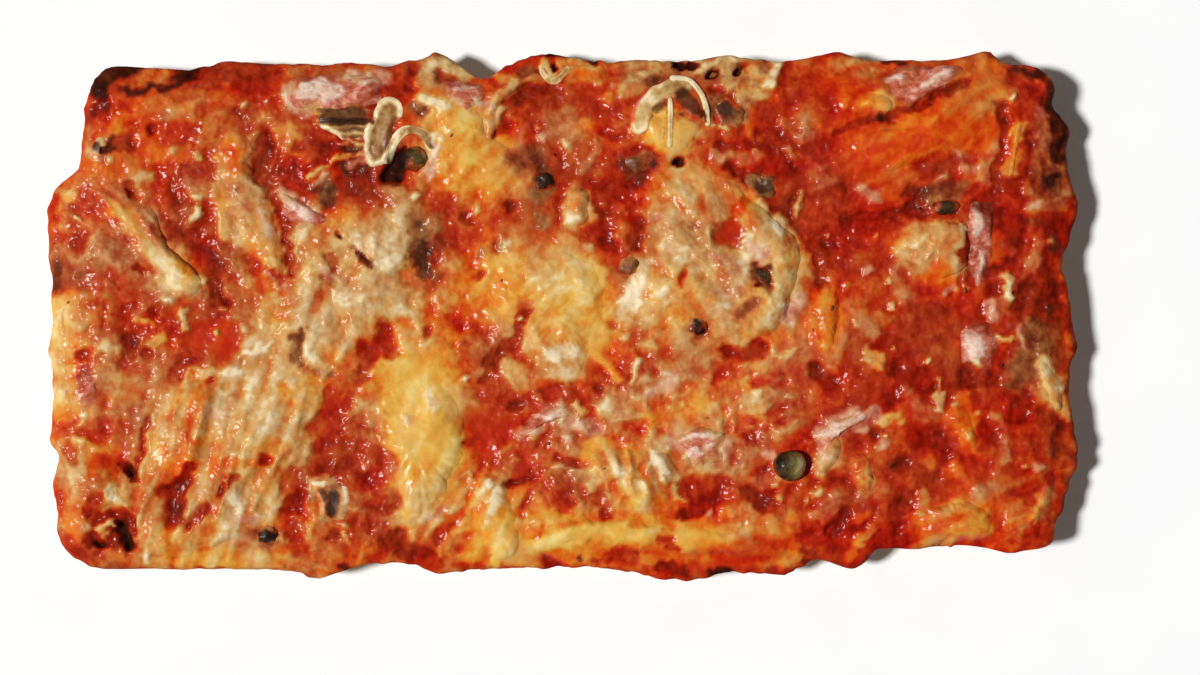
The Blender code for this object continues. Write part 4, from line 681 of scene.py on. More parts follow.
def blur(field, radius):
    """A field smoothed over a radius in mm."""
    half = max(1, round(radius / CELL))
    for axis in (0, 1, 0, 1):
        moved = np.moveaxis(field, axis, 0)
        before = np.repeat(moved[:1], half + 1, axis=0)
        after = np.repeat(moved[-1:], half, axis=0)
        total = np.cumsum(np.concatenate([before, moved, after]), axis=0)
        moved = (total[2 * half + 1:] - total[:-2 * half - 1]) / (2 * half + 1)
        field = np.moveaxis(moved, 0, axis)
    return field


def placed(line):
    """The points of a line from a table."""
    return np.array(line, float).reshape(-1, 2) + SHIFT


def line_distance(x, y, points):
    """Distance in mm from a line through points."""
    best = np.hypot(x - points[0][0], y - points[0][1])
    for (ax, ay), (bx, by) in zip(points, points[1:]):
        dx, dy = bx - ax, by - ay
        t = np.clip(((x - ax) * dx + (y - ay) * dy) / (dx * dx + dy * dy), 0, 1)
        best = np.minimum(best, np.hypot(x - ax - t * dx, y - ay - t * dy))
    return best


# The raster's places pushed about a little, which makes every stroke's edge uneven
WARP_X = MAP_X + 0.8 * rough(MAP_X, MAP_Y, 3.4, 5) + 0.35 * rough(MAP_X, MAP_Y, 1.1, 6, 2)
WARP_Y = MAP_Y + 0.8 * rough(MAP_X, MAP_Y, 3.4, 7) + 0.35 * rough(MAP_X, MAP_Y, 1.1, 8, 2)


def stroke_mask(width, line, soft, steady=0.0):
    """Where one stroke lies, and how strongly; a steady one has even edges."""
    points = placed(line)
    area = window(points, width * (1 + soft) + 2)
    x = WARP_X[area] * (1 - steady) + MAP_X[area] * steady
    y = WARP_Y[area] * (1 - steady) + MAP_Y[area] * steady
    return area, 1 - smooth(1 - soft, 1 + soft, line_distance(x, y, points) / width)


# The painted look of the whole top, which starts as lumpy sauce
LOOK = {channel: np.full_like(MAP_X, value) for channel, value in zip(CHANNELS, LOOKS["lumps"])}


def paint(look, area, mask):
    """Lay a look over what is there."""
    for channel, value in zip(CHANNELS, LOOKS[look]):
        LOOK[channel][area] += (value - LOOK[channel][area]) * mask


def paint_strokes(table, soft):
    """Paint a table's strokes, one over the other."""
    for look, strength, lines in table:
        for width, *line in lines:
            area, mask = stroke_mask(width, line, soft)
            paint(look, area, mask * strength)


def tree_of(name):
    """The surface of a solid in mm, to shoot rays at."""
    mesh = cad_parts[name].data
    corners = [vert.co / MM for vert in mesh.vertices]
    return BVHTree.FromPolygons(corners, [face.vertices[:] for face in mesh.polygons])


def met(tree, x, y):
    """Where a ray straight down meets a solid, or None beside it."""
    return tree.ray_cast(Vector((x, y, ABOVE)), Vector((0, 0, -1)))[0]


def top_of(name, passes):
    """Height of a solid's top over the raster, in mm, carried on beside it by some passes."""
    tree = tree_of(name)
    heights = np.full(MAP_X.shape, np.nan)
    for i in range(0, MAP_X.shape[0], 2):
        for j in range(0, MAP_X.shape[1], 2):
            hit = met(tree, MAP_X[i, j], MAP_Y[i, j])
            if hit:
                heights[i, j] = hit.z
    for _ in range(passes):
        near = [np.roll(heights, turn, axis) for turn in (-1, 1) for axis in (0, 1)]
        count = sum(~np.isnan(side) for side in near)
        mean = sum(np.nan_to_num(side) for side in near) / np.maximum(count, 1)
        heights = np.where(np.isnan(heights) & (count > 0), mean, heights)
    return np.nan_to_num(heights)


def reach_of(name, middle, turns):
    """How far a solid reaches from its middle at each turn, in mm."""
    tree = tree_of(name)
    low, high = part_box(name)
    reach = []
    for turn in turns:
        c, s = math.cos(turn), math.sin(turn)
        # Inwards in steps of half a millimetre until the solid is met, then out again in ever smaller ones
        far, step = math.hypot(high[0] - low[0], high[1] - low[1]) / MM, 0.5
        while far > step and not met(tree, middle[0] + c * far, middle[1] + s * far):
            far -= step
        for _ in range(5):
            step /= 2
            if met(tree, middle[0] + c * (far + step), middle[1] + s * (far + step)):
                far += step
        reach.append(far)
    return np.array(reach)


def evenly(line, least, closed=True):
    """A line of points taken again at an even step."""
    lengths = np.concatenate([[0], np.cumsum(np.hypot(*np.diff(line, axis=0).T))])
    count = max(least, round(lengths[-1] / STEP))
    at = np.linspace(0, lengths[-1], count, endpoint=not closed)
    return np.stack([np.interp(at, lengths, line[:, axis]) for axis in (0, 1)], axis=1)


def curve(line):
    """A smooth line through the points of a table's line."""
    points = placed(line)
    padded = np.concatenate([points[:1], points, points[-1:]])
    f = np.linspace(0, 1, 40, endpoint=False)[:, None]
    found = [
        0.5 * (2 * b + (c - a) * f + (2 * a - 5 * b + 4 * c - d) * f * f + (3 * b - a - 3 * c + d) * f ** 3)
        for a, b, c, d in zip(padded, padded[1:], padded[2:], padded[3:])]
    return evenly(np.concatenate(found + [points[-1:]]), 6, closed=False)


class Blot:
    """Plan of a piece that spreads from its middle: its solid's outline, made softer and ragged."""

    def __init__(self, name, ragged, seed, grain=3.2, soften=0):
        corners = np.array([vert.co[:2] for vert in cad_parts[name].data.vertices]) / MM
        self.middle = corners.mean(axis=0)
        reach = reach_of(name, self.middle, COARSE)
        weights = np.hanning(2 * soften + 3)[1:-1]
        ring = np.concatenate([reach[-1 - soften:-1], reach, reach[1:1 + soften]])
        reach = np.interp(TURNS, COARSE, np.convolve(ring, weights / weights.sum(), "valid"))
        self.reach = reach + ragged * rough(*(self.middle[:, None] + reach * WAYS), grain, seed)
        self.rim = evenly((self.middle[:, None] + self.reach * WAYS).T, 24)
        self.core = np.repeat(self.middle[None], len(self.rim), axis=0)
        self.depth = float(self.reach.mean())

    def share(self, x, y):
        """0 at the middle and 1 on the rim."""
        dx, dy = x - self.middle[0], y - self.middle[1]
        return np.hypot(dx, dy) / np.interp(np.arctan2(dy, dx), TURNS, self.reach)


class Ribbon:
    """Plan of a long piece along a spine, with rounded ends and an uneven width."""

    def __init__(self, line, width, ragged, seed):
        spine = curve(line)
        run = np.gradient(spine, axis=0)
        run /= np.hypot(*run.T)[:, None]
        side = np.stack([-run[:, 1], run[:, 0]], axis=1)
        half = width / 2 * (1 + ragged * rough(*spine.T, 4.0, seed))
        # The spine stops short of the ends by most of half a width, where the rounded ends begin
        inside = min(max(1, round(0.8 * width / 2 / STEP)), len(spine) // 2 - 2)
        spine, side, run, half = (row[inside:-inside] for row in (spine, side, run, half))
        turns = np.linspace(0, math.pi, max(6, round(math.pi * width / 2 / STEP)))[1:-1, None]
        end = side[-1] * np.cos(turns) + run[-1] * np.sin(turns)
        start = -side[0] * np.cos(turns) - run[0] * np.sin(turns)
        out = side * half[:, None]
        self.core = np.concatenate([spine, 0 * end + spine[-1], spine[::-1], 0 * start + spine[0]])
        self.rim = self.core + np.concatenate([out, end * half[-1], -out[::-1], start * half[0]])
        self.spine, self.half = spine, half
        self.depth = width / 2

    def share(self, x, y):
        """0 on the spine and 1 on the rim."""
        best = np.full(np.shape(x), FAR)
        for (px, py), half in zip(self.spine, self.half):
            best = np.minimum(best, np.hypot(x - px, y - py) / half)
        return best


def mesh_of(bm, name):
    """Turn a bmesh into a mesh."""
    mesh = bpy.data.meshes.new(name)
    bm.to_mesh(mesh)
    bm.free()
    return mesh


def grid(name, columns, rows, size=1.0):
    """A flat mesh of rows and columns."""
    bm = bmesh.new()
    bmesh.ops.create_grid(bm, x_segments=columns, y_segments=rows, size=size)
    return mesh_of(bm, name)


def points_of(mesh):
    """A mesh's points, one to a row."""
    flat = np.empty(3 * len(mesh.vertices))
    mesh.vertices.foreach_get("co", flat)
    return flat.reshape(-1, 3)


def mark(mesh, marks):
    """Give each point of a mesh its value of each mark."""
    for name, values in marks.items():
        mesh.attributes.new(name, "FLOAT", "POINT").data.foreach_set("value", values)


def loft(name, places, marks):
    """A closed mesh through rows of points, each row a loop, with a value of each mark at each point.

    The first and the last row are drawn together, to a point or to a line.
    """
    rows, count = places.shape[:2]
    mesh = grid(name, count, rows - 1)

    def joined(values):
        return np.concatenate([values, values[:, :1]], axis=1).ravel()

    mesh.vertices.foreach_set("co", joined(places * MM))
    mark(mesh, {key: joined(np.broadcast_to(values, (rows, count))) for key, values in marks.items()})
    # The seams are closed and the faces turned out
    bm = bmesh.new()
    bm.from_mesh(mesh)
    bmesh.ops.remove_doubles(bm, verts=bm.verts, dist=0.002 * MM)
    bmesh.ops.recalc_face_normals(bm, faces=bm.faces)
    bm.to_mesh(mesh)
    bm.free()
    return mesh


def put(mesh, slot, *nodes):
    """Make a mesh a piece of the slice, in place of its solids."""
    mesh.shade_smooth()
    mesh.materials.append(MATERIALS[slot])
    piece = bpy.data.objects.new(mesh.name, mesh)
    bpy.context.scene.collection.objects.link(piece)
    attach(piece, "root")
    if nodes:
        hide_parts(*nodes)


def colour(code):
    """Linear colour of an sRGB hex value."""
    parts = [int(code[i:i + 2], 16) / 255 for i in (1, 3, 5)]
    return (*[c / 12.92 if c <= 0.04045 else ((c + 0.055) / 1.055) ** 2.4 for c in parts], 1.0)


def per_mm(size):
    """Scale of a pattern in metres whose features measure size in mm."""
    return 1 / (size * MM)


# The output that is used of a kind of node, where that isn't the first
OUTPUTS = {"Attribute": "Fac", "TexCoord": "Object", "Mix": 2}


def add(tree, kind, inputs=None):
    """Add one node with its settings, values and links, and return its output."""
    node = tree.nodes.new("ShaderNode" + kind)
    for key, value in (inputs or {}).items():
        if key == "stops":
            stops = node.color_ramp.elements
            while len(stops) < len(value):
                stops.new(0.5)
            for stop, (at, code) in zip(stops, value):
                stop.position = at
                stop.color = colour(code)
        elif isinstance(value, bpy.types.NodeSocket):
            tree.links.new(value, node.inputs[key])
        elif isinstance(key, int) or key in node.inputs:
            node.inputs[key].default_value = value
        else:
            setattr(node, key, value)
    return node.outputs[OUTPUTS.get(kind, 0)]


def new_material(name, settings, *marks):
    """A material with its uniform values on the shader, and the outputs that give a place and its marks."""
    made = bpy.data.materials.new(name)
    made.use_nodes = True
    tree = made.node_tree
    for key, value in settings.items():
        tree.nodes["Principled BSDF"].inputs[key].default_value = value
    found = [add(tree, "Attribute", {"attribute_name": key}) for key in marks]
    return made, tree, add(tree, "TexCoord"), *found


def finished(made, sources):
    """The material, with its patterns linked to the shader."""
    tree = made.node_tree
    for key, source in sources.items():
        tree.links.new(source, tree.nodes["Principled BSDF"].inputs[key])
    return made


def translucent(weight, reach, size):
    """Shader values for soft food that light enters: how much, how far by colour, how deep in mm."""
    return {"Subsurface Weight": weight, "Subsurface Radius": reach, "Subsurface Scale": size * MM}


def under_sauce(tree, skin, tone, stops):
    """A topping's skin, with sauce over it where it is marked as sauced."""
    sauced = add(tree, "Attribute", {"attribute_name": "sauced"})
    juice = add(tree, "ValToRGB", {"Fac": tone, "stops": stops})
    return add(tree, "Mix", {"data_type": "RGBA", 0: sauced, 6: skin, 7: juice})


# Tomato sauce and milky cheese, from dark cooked sauce to pale creamy cheese
MILKY = (
    (0, "#481206"), (0.12, "#671A07"), (0.25, "#86270D"), (0.38, "#9E3714"), (0.5, "#AA5124"),
    (0.62, "#B56D3B"), (0.74, "#C18D57"), (0.87, "#CDAA78"), (1, "#E4D2AE"))
# The same where oil and fat shine through, more orange and yellow
OILY = (
    (0, "#580C02"), (0.12, "#800D02"), (0.25, "#A31503"), (0.38, "#BA2705"), (0.5, "#CA450A"),
    (0.62, "#D26816"), (0.74, "#D68D2E"), (0.87, "#DCAE4E"), (1, "#E8D084"))
# Other skins: cooked mushroom from gills to flesh, crumbs of ham in the cheese and a few painted
# glints, burnt cheese and the painted shade in holes, ham's lean and fat, dough from burnt to floury,
# capers, and the table
FLESH = ((0, "#200E06"), (0.25, "#522C16"), (0.5, "#926236"), (0.75, "#C6A76C"), (1, "#EFE2BE"))
CRUMBS = ((0.3, "#98342A"), (0.75, "#CE8E7E"), (1, "#E8C6B6"))
BURNT = ((0.3, "#100704"), (0.8, "#34170C"))
LEAN = ((0.32, "#A23A26"), (0.5, "#BE6450"), (0.66, "#DAA088"))
FAT_WHITE = ((0.3, "#CE9880"), (0.62, "#E8D4C4"))
BREAD = ((0.38, "#3A1A0A"), (0.5, "#7E451B"), (0.62, "#B07434"), (0.76, "#CF9F60"), (0.95, "#E2C596"))
OLIVE_GREEN = ((0, "#1E1009"), (0.3, "#3E2A14"), (0.6, "#665830"), (1, "#ABA06E"))
TABLE_WHITE = ((0.3, "#F0F6FC"), (0.7, "#F4F9FE"))
LAMP_WHITE = "#FFFAF4"


def topping_material(name):
    """Baked sauce and melted cheese, wet with oil: colour goes with how much cheese there is."""
    made, tree, place, *found = new_material(name, {
        "IOR": 1.45, "Specular IOR Level": 0.05, "Coat Roughness": 0.19, "Coat IOR": 1.42,
        **translucent(0.08, (1, 0.35, 0.12), 0.7)}, *surface)
    marks = dict(zip(surface, found))
    # Curds and shreds of about 2 mm with firm edges, and the finer grain of pulp and curd
    curd = add(tree, "TexNoise", {
        "Vector": place, "Scale": per_mm(2.1), "Detail": 2, "Roughness": 0.5, "Distortion": 0.4})
    grain = add(tree, "TexNoise", {"Vector": place, "Scale": per_mm(0.8), "Detail": 2})
    fleck = add(tree, "Math", {"operation": "MULTIPLY_ADD", 0: grain, 1: 0.2, 2: curd})
    swell = add(tree, "MapRange", {
        "interpolation_type": "SMOOTHSTEP", "Value": fleck, "From Min": 0.42, "From Max": 0.78,
        "To Min": -0.09, "To Max": 0.09})
    lively = add(tree, "Math", {"operation": "MULTIPLY_ADD", 0: marks["calm"], 1: -0.8, 2: 1})
    swell = add(tree, "Math", {"operation": "MULTIPLY", 0: swell, 1: lively})
    tone = add(tree, "Math", {"operation": "ADD", 0: marks["tone"], 1: swell})
    milky = add(tree, "ValToRGB", {"Fac": tone, "stops": MILKY})
    skin = add(tree, "ValToRGB", {"Fac": tone, "stops": OILY})
    skin = add(tree, "Mix", {"data_type": "RGBA", 0: marks["oil"], 6: milky, 7: skin})
    # Crumbs of ham, mushroom colour, and the burnt colour, which also paints the shade in holes
    for key, source, stops in (("pink", tone, CRUMBS), ("grey", tone, FLESH), ("char", curd, BURNT)):
        shade = add(tree, "ValToRGB", {"Fac": source, "stops": stops})
        skin = add(tree, "Mix", {"data_type": "RGBA", 0: marks[key], 6: skin, 7: shade})
    # Oil lies as a film on the sauce, less on the dry skin of the cheese and none where it is burnt
    matt = add(tree, "Math", {"operation": "MULTIPLY_ADD", 0: curd, 1: 0.3, 2: 0.38})
    film = add(tree, "MapRange", {
        "Value": tone, "From Min": 0.5, "From Max": 0.9, "To Min": 0.2, "To Max": 0.09})
    film = add(tree, "Math", {"operation": "MULTIPLY_ADD", 0: marks["oil"], 1: 0.1, 2: film})
    sunk = add(tree, "MapRange", {
        "Value": tone, "From Min": 0.1, "From Max": 0.35, "To Min": 0.4, "To Max": 1})
    film = add(tree, "Math", {"operation": "MULTIPLY", 0: film, 1: sunk})
    for key in ("dry", "char"):
        matt = add(tree, "Math", {"operation": "MULTIPLY_ADD", 0: marks[key], 1: 0.25, 2: matt})
        wet = add(tree, "Math", {"operation": "SUBTRACT", 0: 1, 1: marks[key]})
        film = add(tree, "Math", {"operation": "MULTIPLY", 0: film, 1: wet})
    # Rounded lumps of pulp and drops of oil, each of which gives one glint
    lumps = add(tree, "TexNoise", {"Vector": place, "Scale": per_mm(1.9), "Detail": 1, "Distortion": 0.3})
    drops = add(tree, "TexNoise", {"Vector": place, "Scale": per_mm(0.9), "Detail": 0})
    relief = add(tree, "Math", {"operation": "MULTIPLY_ADD", 0: drops, 1: 0.8, 2: lumps})
    steep = add(tree, "MapRange", {
        "Value": tone, "From Min": 0.55, "From Max": 0.85, "To Min": 0.55, "To Max": 0.34})
    steep = add(tree, "Math", {"operation": "MULTIPLY", 0: steep, 1: lively})
    bump = add(tree, "Bump", {"Height": relief, "Strength": steep, "Distance": 0.5 * MM})
    return finished(made, {
        "Base Color": skin, "Roughness": matt, "Coat Weight": film, "Normal": bump, "Coat Normal": bump})


def dough_material():
    """Oven-browned dough: golden with brown blisters, pale and floury where it lay on the tray."""
    made, tree, place, bread = new_material("baked_dough", {"IOR": 1.45, "Specular IOR Level": 0.35}, "bread")
    # Blisters of about 5 mm, and the fine open grain of the crust
    blister = add(tree, "TexNoise", {"Vector": place, "Scale": per_mm(5), "Detail": 5, "Roughness": 0.65})
    grain = add(tree, "TexNoise", {"Vector": place, "Scale": per_mm(0.7), "Detail": 3})
    baked = add(tree, "Math", {"operation": "MULTIPLY_ADD", 0: blister, 1: 0.7, 2: bread})
    baked = add(tree, "Math", {"operation": "MULTIPLY_ADD", 0: grain, 1: 0.25, 2: baked})
    baked = add(tree, "Math", {"operation": "MULTIPLY", 0: baked, 1: 0.68})
    skin = add(tree, "ValToRGB", {"Fac": baked, "stops": BREAD})
    matt = add(tree, "Math", {"operation": "MULTIPLY_ADD", 0: grain, 1: 0.25, 2: 0.55})
    relief = add(tree, "Math", {"operation": "MULTIPLY_ADD", 0: grain, 1: 0.5, 2: blister})
    bump = add(tree, "Bump", {"Height": relief, "Strength": 0.6, "Distance": 0.6 * MM})
    return finished(made, {"Base Color": skin, "Roughness": matt, "Normal": bump})


def ham_material():
    """Cooked ham: pink lean with fine pale fibres, white fat, red with sauce at its rim, and moist."""
    made, tree, place, fat, tone = new_material("cooked_ham", {
        "IOR": 1.42, "Specular IOR Level": 0.2, "Coat Weight": 0.12, "Coat Roughness": 0.15,
        **translucent(0.15, (1, 0.35, 0.25), 0.6)}, "fat", "tone")
    along = add(tree, "Mapping", {"Vector": place, "Scale": (0.7, 1, 1), "Rotation": (0, 0, 0.35)})
    fibre = add(tree, "TexNoise", {
        "Vector": along, "Scale": per_mm(1.2), "Detail": 4, "Roughness": 0.65, "Distortion": 0.5})
    lean = add(tree, "ValToRGB", {"Fac": fibre, "stops": LEAN})
    white = add(tree, "ValToRGB", {"Fac": fibre, "stops": FAT_WHITE})
    skin = add(tree, "Mix", {"data_type": "RGBA", 0: fat, 6: lean, 7: white})
    thin = add(tree, "Math", {"operation": "MULTIPLY_ADD", 0: fibre, 1: 0.3, 2: -0.15})
    tone = add(tree, "Math", {"operation": "ADD", 0: tone, 1: thin})
    matt = add(tree, "Math", {"operation": "MULTIPLY_ADD", 0: fibre, 1: 0.3, 2: 0.32})
    bump = add(tree, "Bump", {"Height": fibre, "Strength": 0.6, "Distance": 0.5 * MM})
    return finished(made, {
        "Base Color": under_sauce(tree, skin, tone, MILKY), "Roughness": matt,
        "Normal": bump, "Coat Normal": bump})


def mushroom_material():
    """Baked slices of button mushroom: cream flesh, brown gills and dried rims, satin and moist."""
    made, tree, place, pale, tone = new_material("baked_mushroom", {
        "IOR": 1.4, "Specular IOR Level": 0.2, "Coat Weight": 0.08, "Coat Roughness": 0.25,
        **translucent(0.2, (1, 0.6, 0.3), 0.8)}, "pale", "tone")
    fibre = add(tree, "TexNoise", {"Vector": place, "Scale": per_mm(0.8), "Detail": 4})
    thin = add(tree, "Math", {"operation": "MULTIPLY_ADD", 0: fibre, 1: 0.3, 2: -0.15})
    pale = add(tree, "Math", {"operation": "ADD", 0: thin, 1: pale})
    skin = add(tree, "ValToRGB", {"Fac": pale, "stops": FLESH})
    tone = add(tree, "Math", {"operation": "MULTIPLY_ADD", 0: fibre, 1: 0.4, 2: tone})
    tone = add(tree, "Math", {"operation": "SUBTRACT", 0: tone, 1: 0.2})
    matt = add(tree, "Math", {"operation": "MULTIPLY_ADD", 0: fibre, 1: 0.3, 2: 0.28})
    bump = add(tree, "Bump", {"Height": fibre, "Strength": 0.5, "Distance": 0.2 * MM})
    return finished(made, {
        "Base Color": under_sauce(tree, skin, tone, OILY), "Roughness": matt, "Normal": bump})


def caper_material():
    """Pickled caper: dull olive green with brown shade and fine pale dots, wet."""
    made, tree, place, pale, tone = new_material("pickled_caper", {
        "IOR": 1.42, "Specular IOR Level": 0.15, "Coat Weight": 0.1, "Coat Roughness": 0.2,
        **translucent(0.1, (1, 0.9, 0.3), 0.6)}, "pale", "tone")
    mottle = add(tree, "TexNoise", {"Vector": place, "Scale": per_mm(1.1), "Detail": 3})
    dots = add(tree, "TexVoronoi", {"Vector": place, "Scale": per_mm(0.5)})
    shade = add(tree, "Math", {"operation": "MULTIPLY_ADD", 0: mottle, 1: 0.5, 2: -0.25})
    pale = add(tree, "Math", {"operation": "ADD", 0: shade, 1: pale})
    pale = add(tree, "Math", {"operation": "MULTIPLY_ADD", 0: dots, 1: -0.12, 2: pale})
    skin = add(tree, "ValToRGB", {"Fac": pale, "stops": OLIVE_GREEN})
    matt = add(tree, "Math", {"operation": "MULTIPLY_ADD", 0: mottle, 1: 0.25, 2: 0.35})
    bump = add(tree, "Bump", {"Height": dots, "Strength": 0.4, "Distance": 0.15 * MM})
    return finished(made, {
        "Base Color": under_sauce(tree, skin, tone, MILKY), "Roughness": matt, "Normal": bump})


# Plans of all cheese
plans = {}
for index, (name, row) in enumerate(BLOTS.items()):
    plans[name] = Blot(name, 0.4 if row[3] else 0.9, 40 + index, soften=5)
for index, (name, row) in enumerate(RIBBONS.items()):
    plans[name] = Ribbon(row[4], row[3], 0.4, 70 + index)

paint_strokes(GROUNDS, soft=0.8)
for name, plan in plans.items():
    look, strength = {**BLOTS, **RIBBONS}[name][:2]
    area = window(plan.rim, 3)
    share = plan.share(WARP_X[area], WARP_Y[area])
    inner = 0.55 if look in ("yellow", "gold") else 0.75
    paint(look, area, strength * (1 - smooth(inner, 1.25, share)))
paint_strokes(STROKES, soft=0.42)

# Lumps and streaks of sauce and cheese run into each other, so their places are pushed about more
swirl_x = MAP_X + 2.2 * rough(MAP_X, MAP_Y, 8.0, 16) + 0.7 * noise(MAP_X, MAP_Y, 2.4, 17)
swirl_y = MAP_Y + 2.2 * rough(MAP_X, MAP_Y, 8.0, 18) + 0.7 * noise(MAP_X, MAP_Y, 2.4, 19)
lump_big = firm(rough(swirl_x, swirl_y, 5.5, 11, 4))
lump_small = firm(rough(swirl_x, swirl_y, 2.2, 12, 2))
strings = 1 - np.abs(rough(swirl_x, swirl_y, 9.0, 15, 2)) / 0.07
strings = np.clip(strings, 0, 1) * smooth(-0.1, 0.5, noise(MAP_X, MAP_Y, 11.0, 20))
granules = grains(WARP_X, WARP_Y, 1.5, 29) - 0.5
pulp = LOOK["pulp"] * (grains(WARP_X, WARP_Y, 2.4, 13) - 0.5)
crumple = LOOK["crumple"] * (1 - 2.6 * np.abs(rough(WARP_X, WARP_Y, 3.0, 14, 2)))
# Strands lie where the cheese was pulled, each with a bend, and leave few lumps there
bend_x = MAP_X + 1.1 * rough(MAP_X, MAP_Y, 13.0, 40, 2)
bend_y = MAP_Y + 1.1 * rough(MAP_X, MAP_Y, 13.0, 41, 2)
strand, pulled = np.zeros_like(MAP_X), np.zeros_like(MAP_X)
for turn, strength, lines in STRANDS:
    along, across = turned(bend_x, bend_y, math.radians(turn))
    ridges = firm(rough(along / 7, across, 1.7, turn, 2))
    for width, *line in lines:
        area, mask = stroke_mask(width, line, 0.7)
        strand[area] += (ridges[area] - strand[area]) * mask * strength
        pulled[area] = np.maximum(pulled[area], mask * strength)
lively = 1 - 0.75 * LOOK["calm"]
even = 1 - 0.8 * pulled

base_top = top_of("baked_base", 12)
# What the materials read at each place of the top; the rim dries in the oven
surface = {key: LOOK[key] for key in ("tone", "oil", "calm", "pink", "grey", "char")}
surface["dry"] = smooth(9.3, 8.0, base_top)
surface["tone"] = LOOK["tone"] + 0.16 * pulp + 0.11 * crumple + lively * (
    even * (0.15 * lump_big + 0.09 * lump_small) + 0.08 * strings + 0.26 * strand
    + (0.02 + 0.05 * LOOK["pulp"]) * granules)
# Oil gathers in the dips, where the sauce shines through the cheese
dips = LOOK["tone"] - surface["tone"]
surface["oil"] = np.clip(LOOK["oil"] + 0.4 * rough(MAP_X, MAP_Y, 6.0, 21) + 1.6 * dips, 0, 1)


def bumps(table, x, y):
    """Sum of a table's soft round bumps at a place."""
    return sum(amount * np.exp(-((x - at_x) ** 2 + (y - at_y) ** 2) / radius ** 2)
               for amount, radius, at_x, at_y in table)


surface["tone"] = np.maximum(surface["tone"] + bumps(COOKED, MAP_X, MAP_Y), 0.14 * (1 - LOOK["char"]))
lift = LOOK["lift"] + 0.48 * pulp + 0.26 * crumple + lively * (
    even * (0.28 * lump_big + 0.14 * lump_small) + 0.2 * strings + 0.3 * strand)
fine = lively * ((0.04 + 0.15 * LOOK["pulp"]) * granules + 0.09 * even * rough(MAP_X, MAP_Y, 1.2, 30, 1))
# The sheet lies on the dough, and a little clear of it where the dough falls off to its sides
footing = np.maximum(base_top + 0.7 + 2.2 * smooth(9.2, 6.0, base_top), top_of("tomato_sauce", 2))
sauce_height = blur(footing, 0.7) + lift + fine
# Height of everything laid so far
ground = sauce_height.copy()

MATERIALS = {
    "sauce": topping_material("baked_tomato_sauce"), "cheese": topping_material("melted_mozzarella"),
    "crust": dough_material(), "ham": ham_material(), "mushroom": mushroom_material(),
    "caper": caper_material()}


def look_at(x, y):
    """The look of sauce and cheese at each place."""
    return {key: read(field, x, y) for key, field in surface.items()}


# The sheet of sauce: step of its mesh, and how far inside the dough's widest reach it ends
SHEET_STEP = 0.436
SHEET_INSET = 0.5
# How far each turn of its edge drops and how far it goes in under itself
HEM = ((0.7, 0.1), (0.6, 0.9), (0.2, 3.0))


def sheet_piece():
    """Sauce and melted cheese all over: a fine sheet draped over the dough's shoulders to its sides."""
    low, high = (np.array(corner[:2]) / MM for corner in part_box("baked_base"))
    half = (high - low) / 2
    reach = reach_of("baked_base", (0, 0), TURNS) - SHEET_INSET
    rim = reach * WAYS
    reach = reach + 0.12 * rough(*rim, 1.1, 43, 1) + bumps(NUDGES, *rim) + 0.25 * rough(*rim, 9.0, 21, 2)
    reach = reach + 0.28 * rough(*rim, 2.6, 22)
    mesh = grid("tomato_sauce_sheet", *(round(side / SHEET_STEP) for side in 2 * half))
    # A rectangle drawn out or in along each ray, so that its rim follows the slice's
    u, v = points_of(mesh)[:, :2].T
    x, y = u * half[0], v * half[1]
    out = np.maximum(np.maximum(np.abs(u), np.abs(v)), 1e-6)
    square = np.maximum(np.hypot(x, y), 1e-6) / out
    stretch = 1 + (np.interp(np.arctan2(y, x), TURNS, reach) / square - 1) * out ** 8
    x, y = x * stretch, y * stretch
    inside = np.minimum((1 - np.abs(u)) * half[0], (1 - np.abs(v)) * half[1])
    z = read(sauce_height, x, y) - 0.8 * (1 - smooth(0, 0.8, inside))
    mesh.vertices.foreach_set("co", (np.stack([x, y, z], axis=1) * MM).ravel())
    mark(mesh, look_at(x, y))
    # Its edge hangs a little down the side and then turns in under itself
    bm = bmesh.new()
    bm.from_mesh(mesh)
    for drop, inward in HEM:
        edge = [e for e in bm.edges if e.is_boundary]
        grown = bmesh.ops.extrude_edge_only(bm, edges=edge)["geom"]
        for vert in (part for part in grown if isinstance(part, bmesh.types.BMVert)):
            away = Vector((vert.co.x, vert.co.y, 0)).normalized()
            hang = 1 + 0.5 * noise(vert.co.x / MM, vert.co.y / MM, 3.0, 23)
            vert.co -= away * inward * MM + Vector((0, 0, max(0.1, drop * hang) * MM))
    bmesh.ops.contextual_create(bm, geom=[e for e in bm.edges if e.is_boundary])
    bmesh.ops.recalc_face_normals(bm, faces=bm.faces)
    bm.to_mesh(mesh)
    bm.free()
    put(mesh, "sauce", "tomato_sauce")


# The dough: where its rings lie on top and underneath as shares of the way out, and the height of its side
DOUGH_TOP = (0, 0.3, 0.6, 0.8, 0.88, 0.92, 0.95, 0.97)
DOUGH_UNDERSIDE = (0.99, 0.97, 0.94, 0.9, 0.82, 0.7, 0.55, 0.4, 0.25, 0.1, 0)
DOUGH_SIDE = 6.4


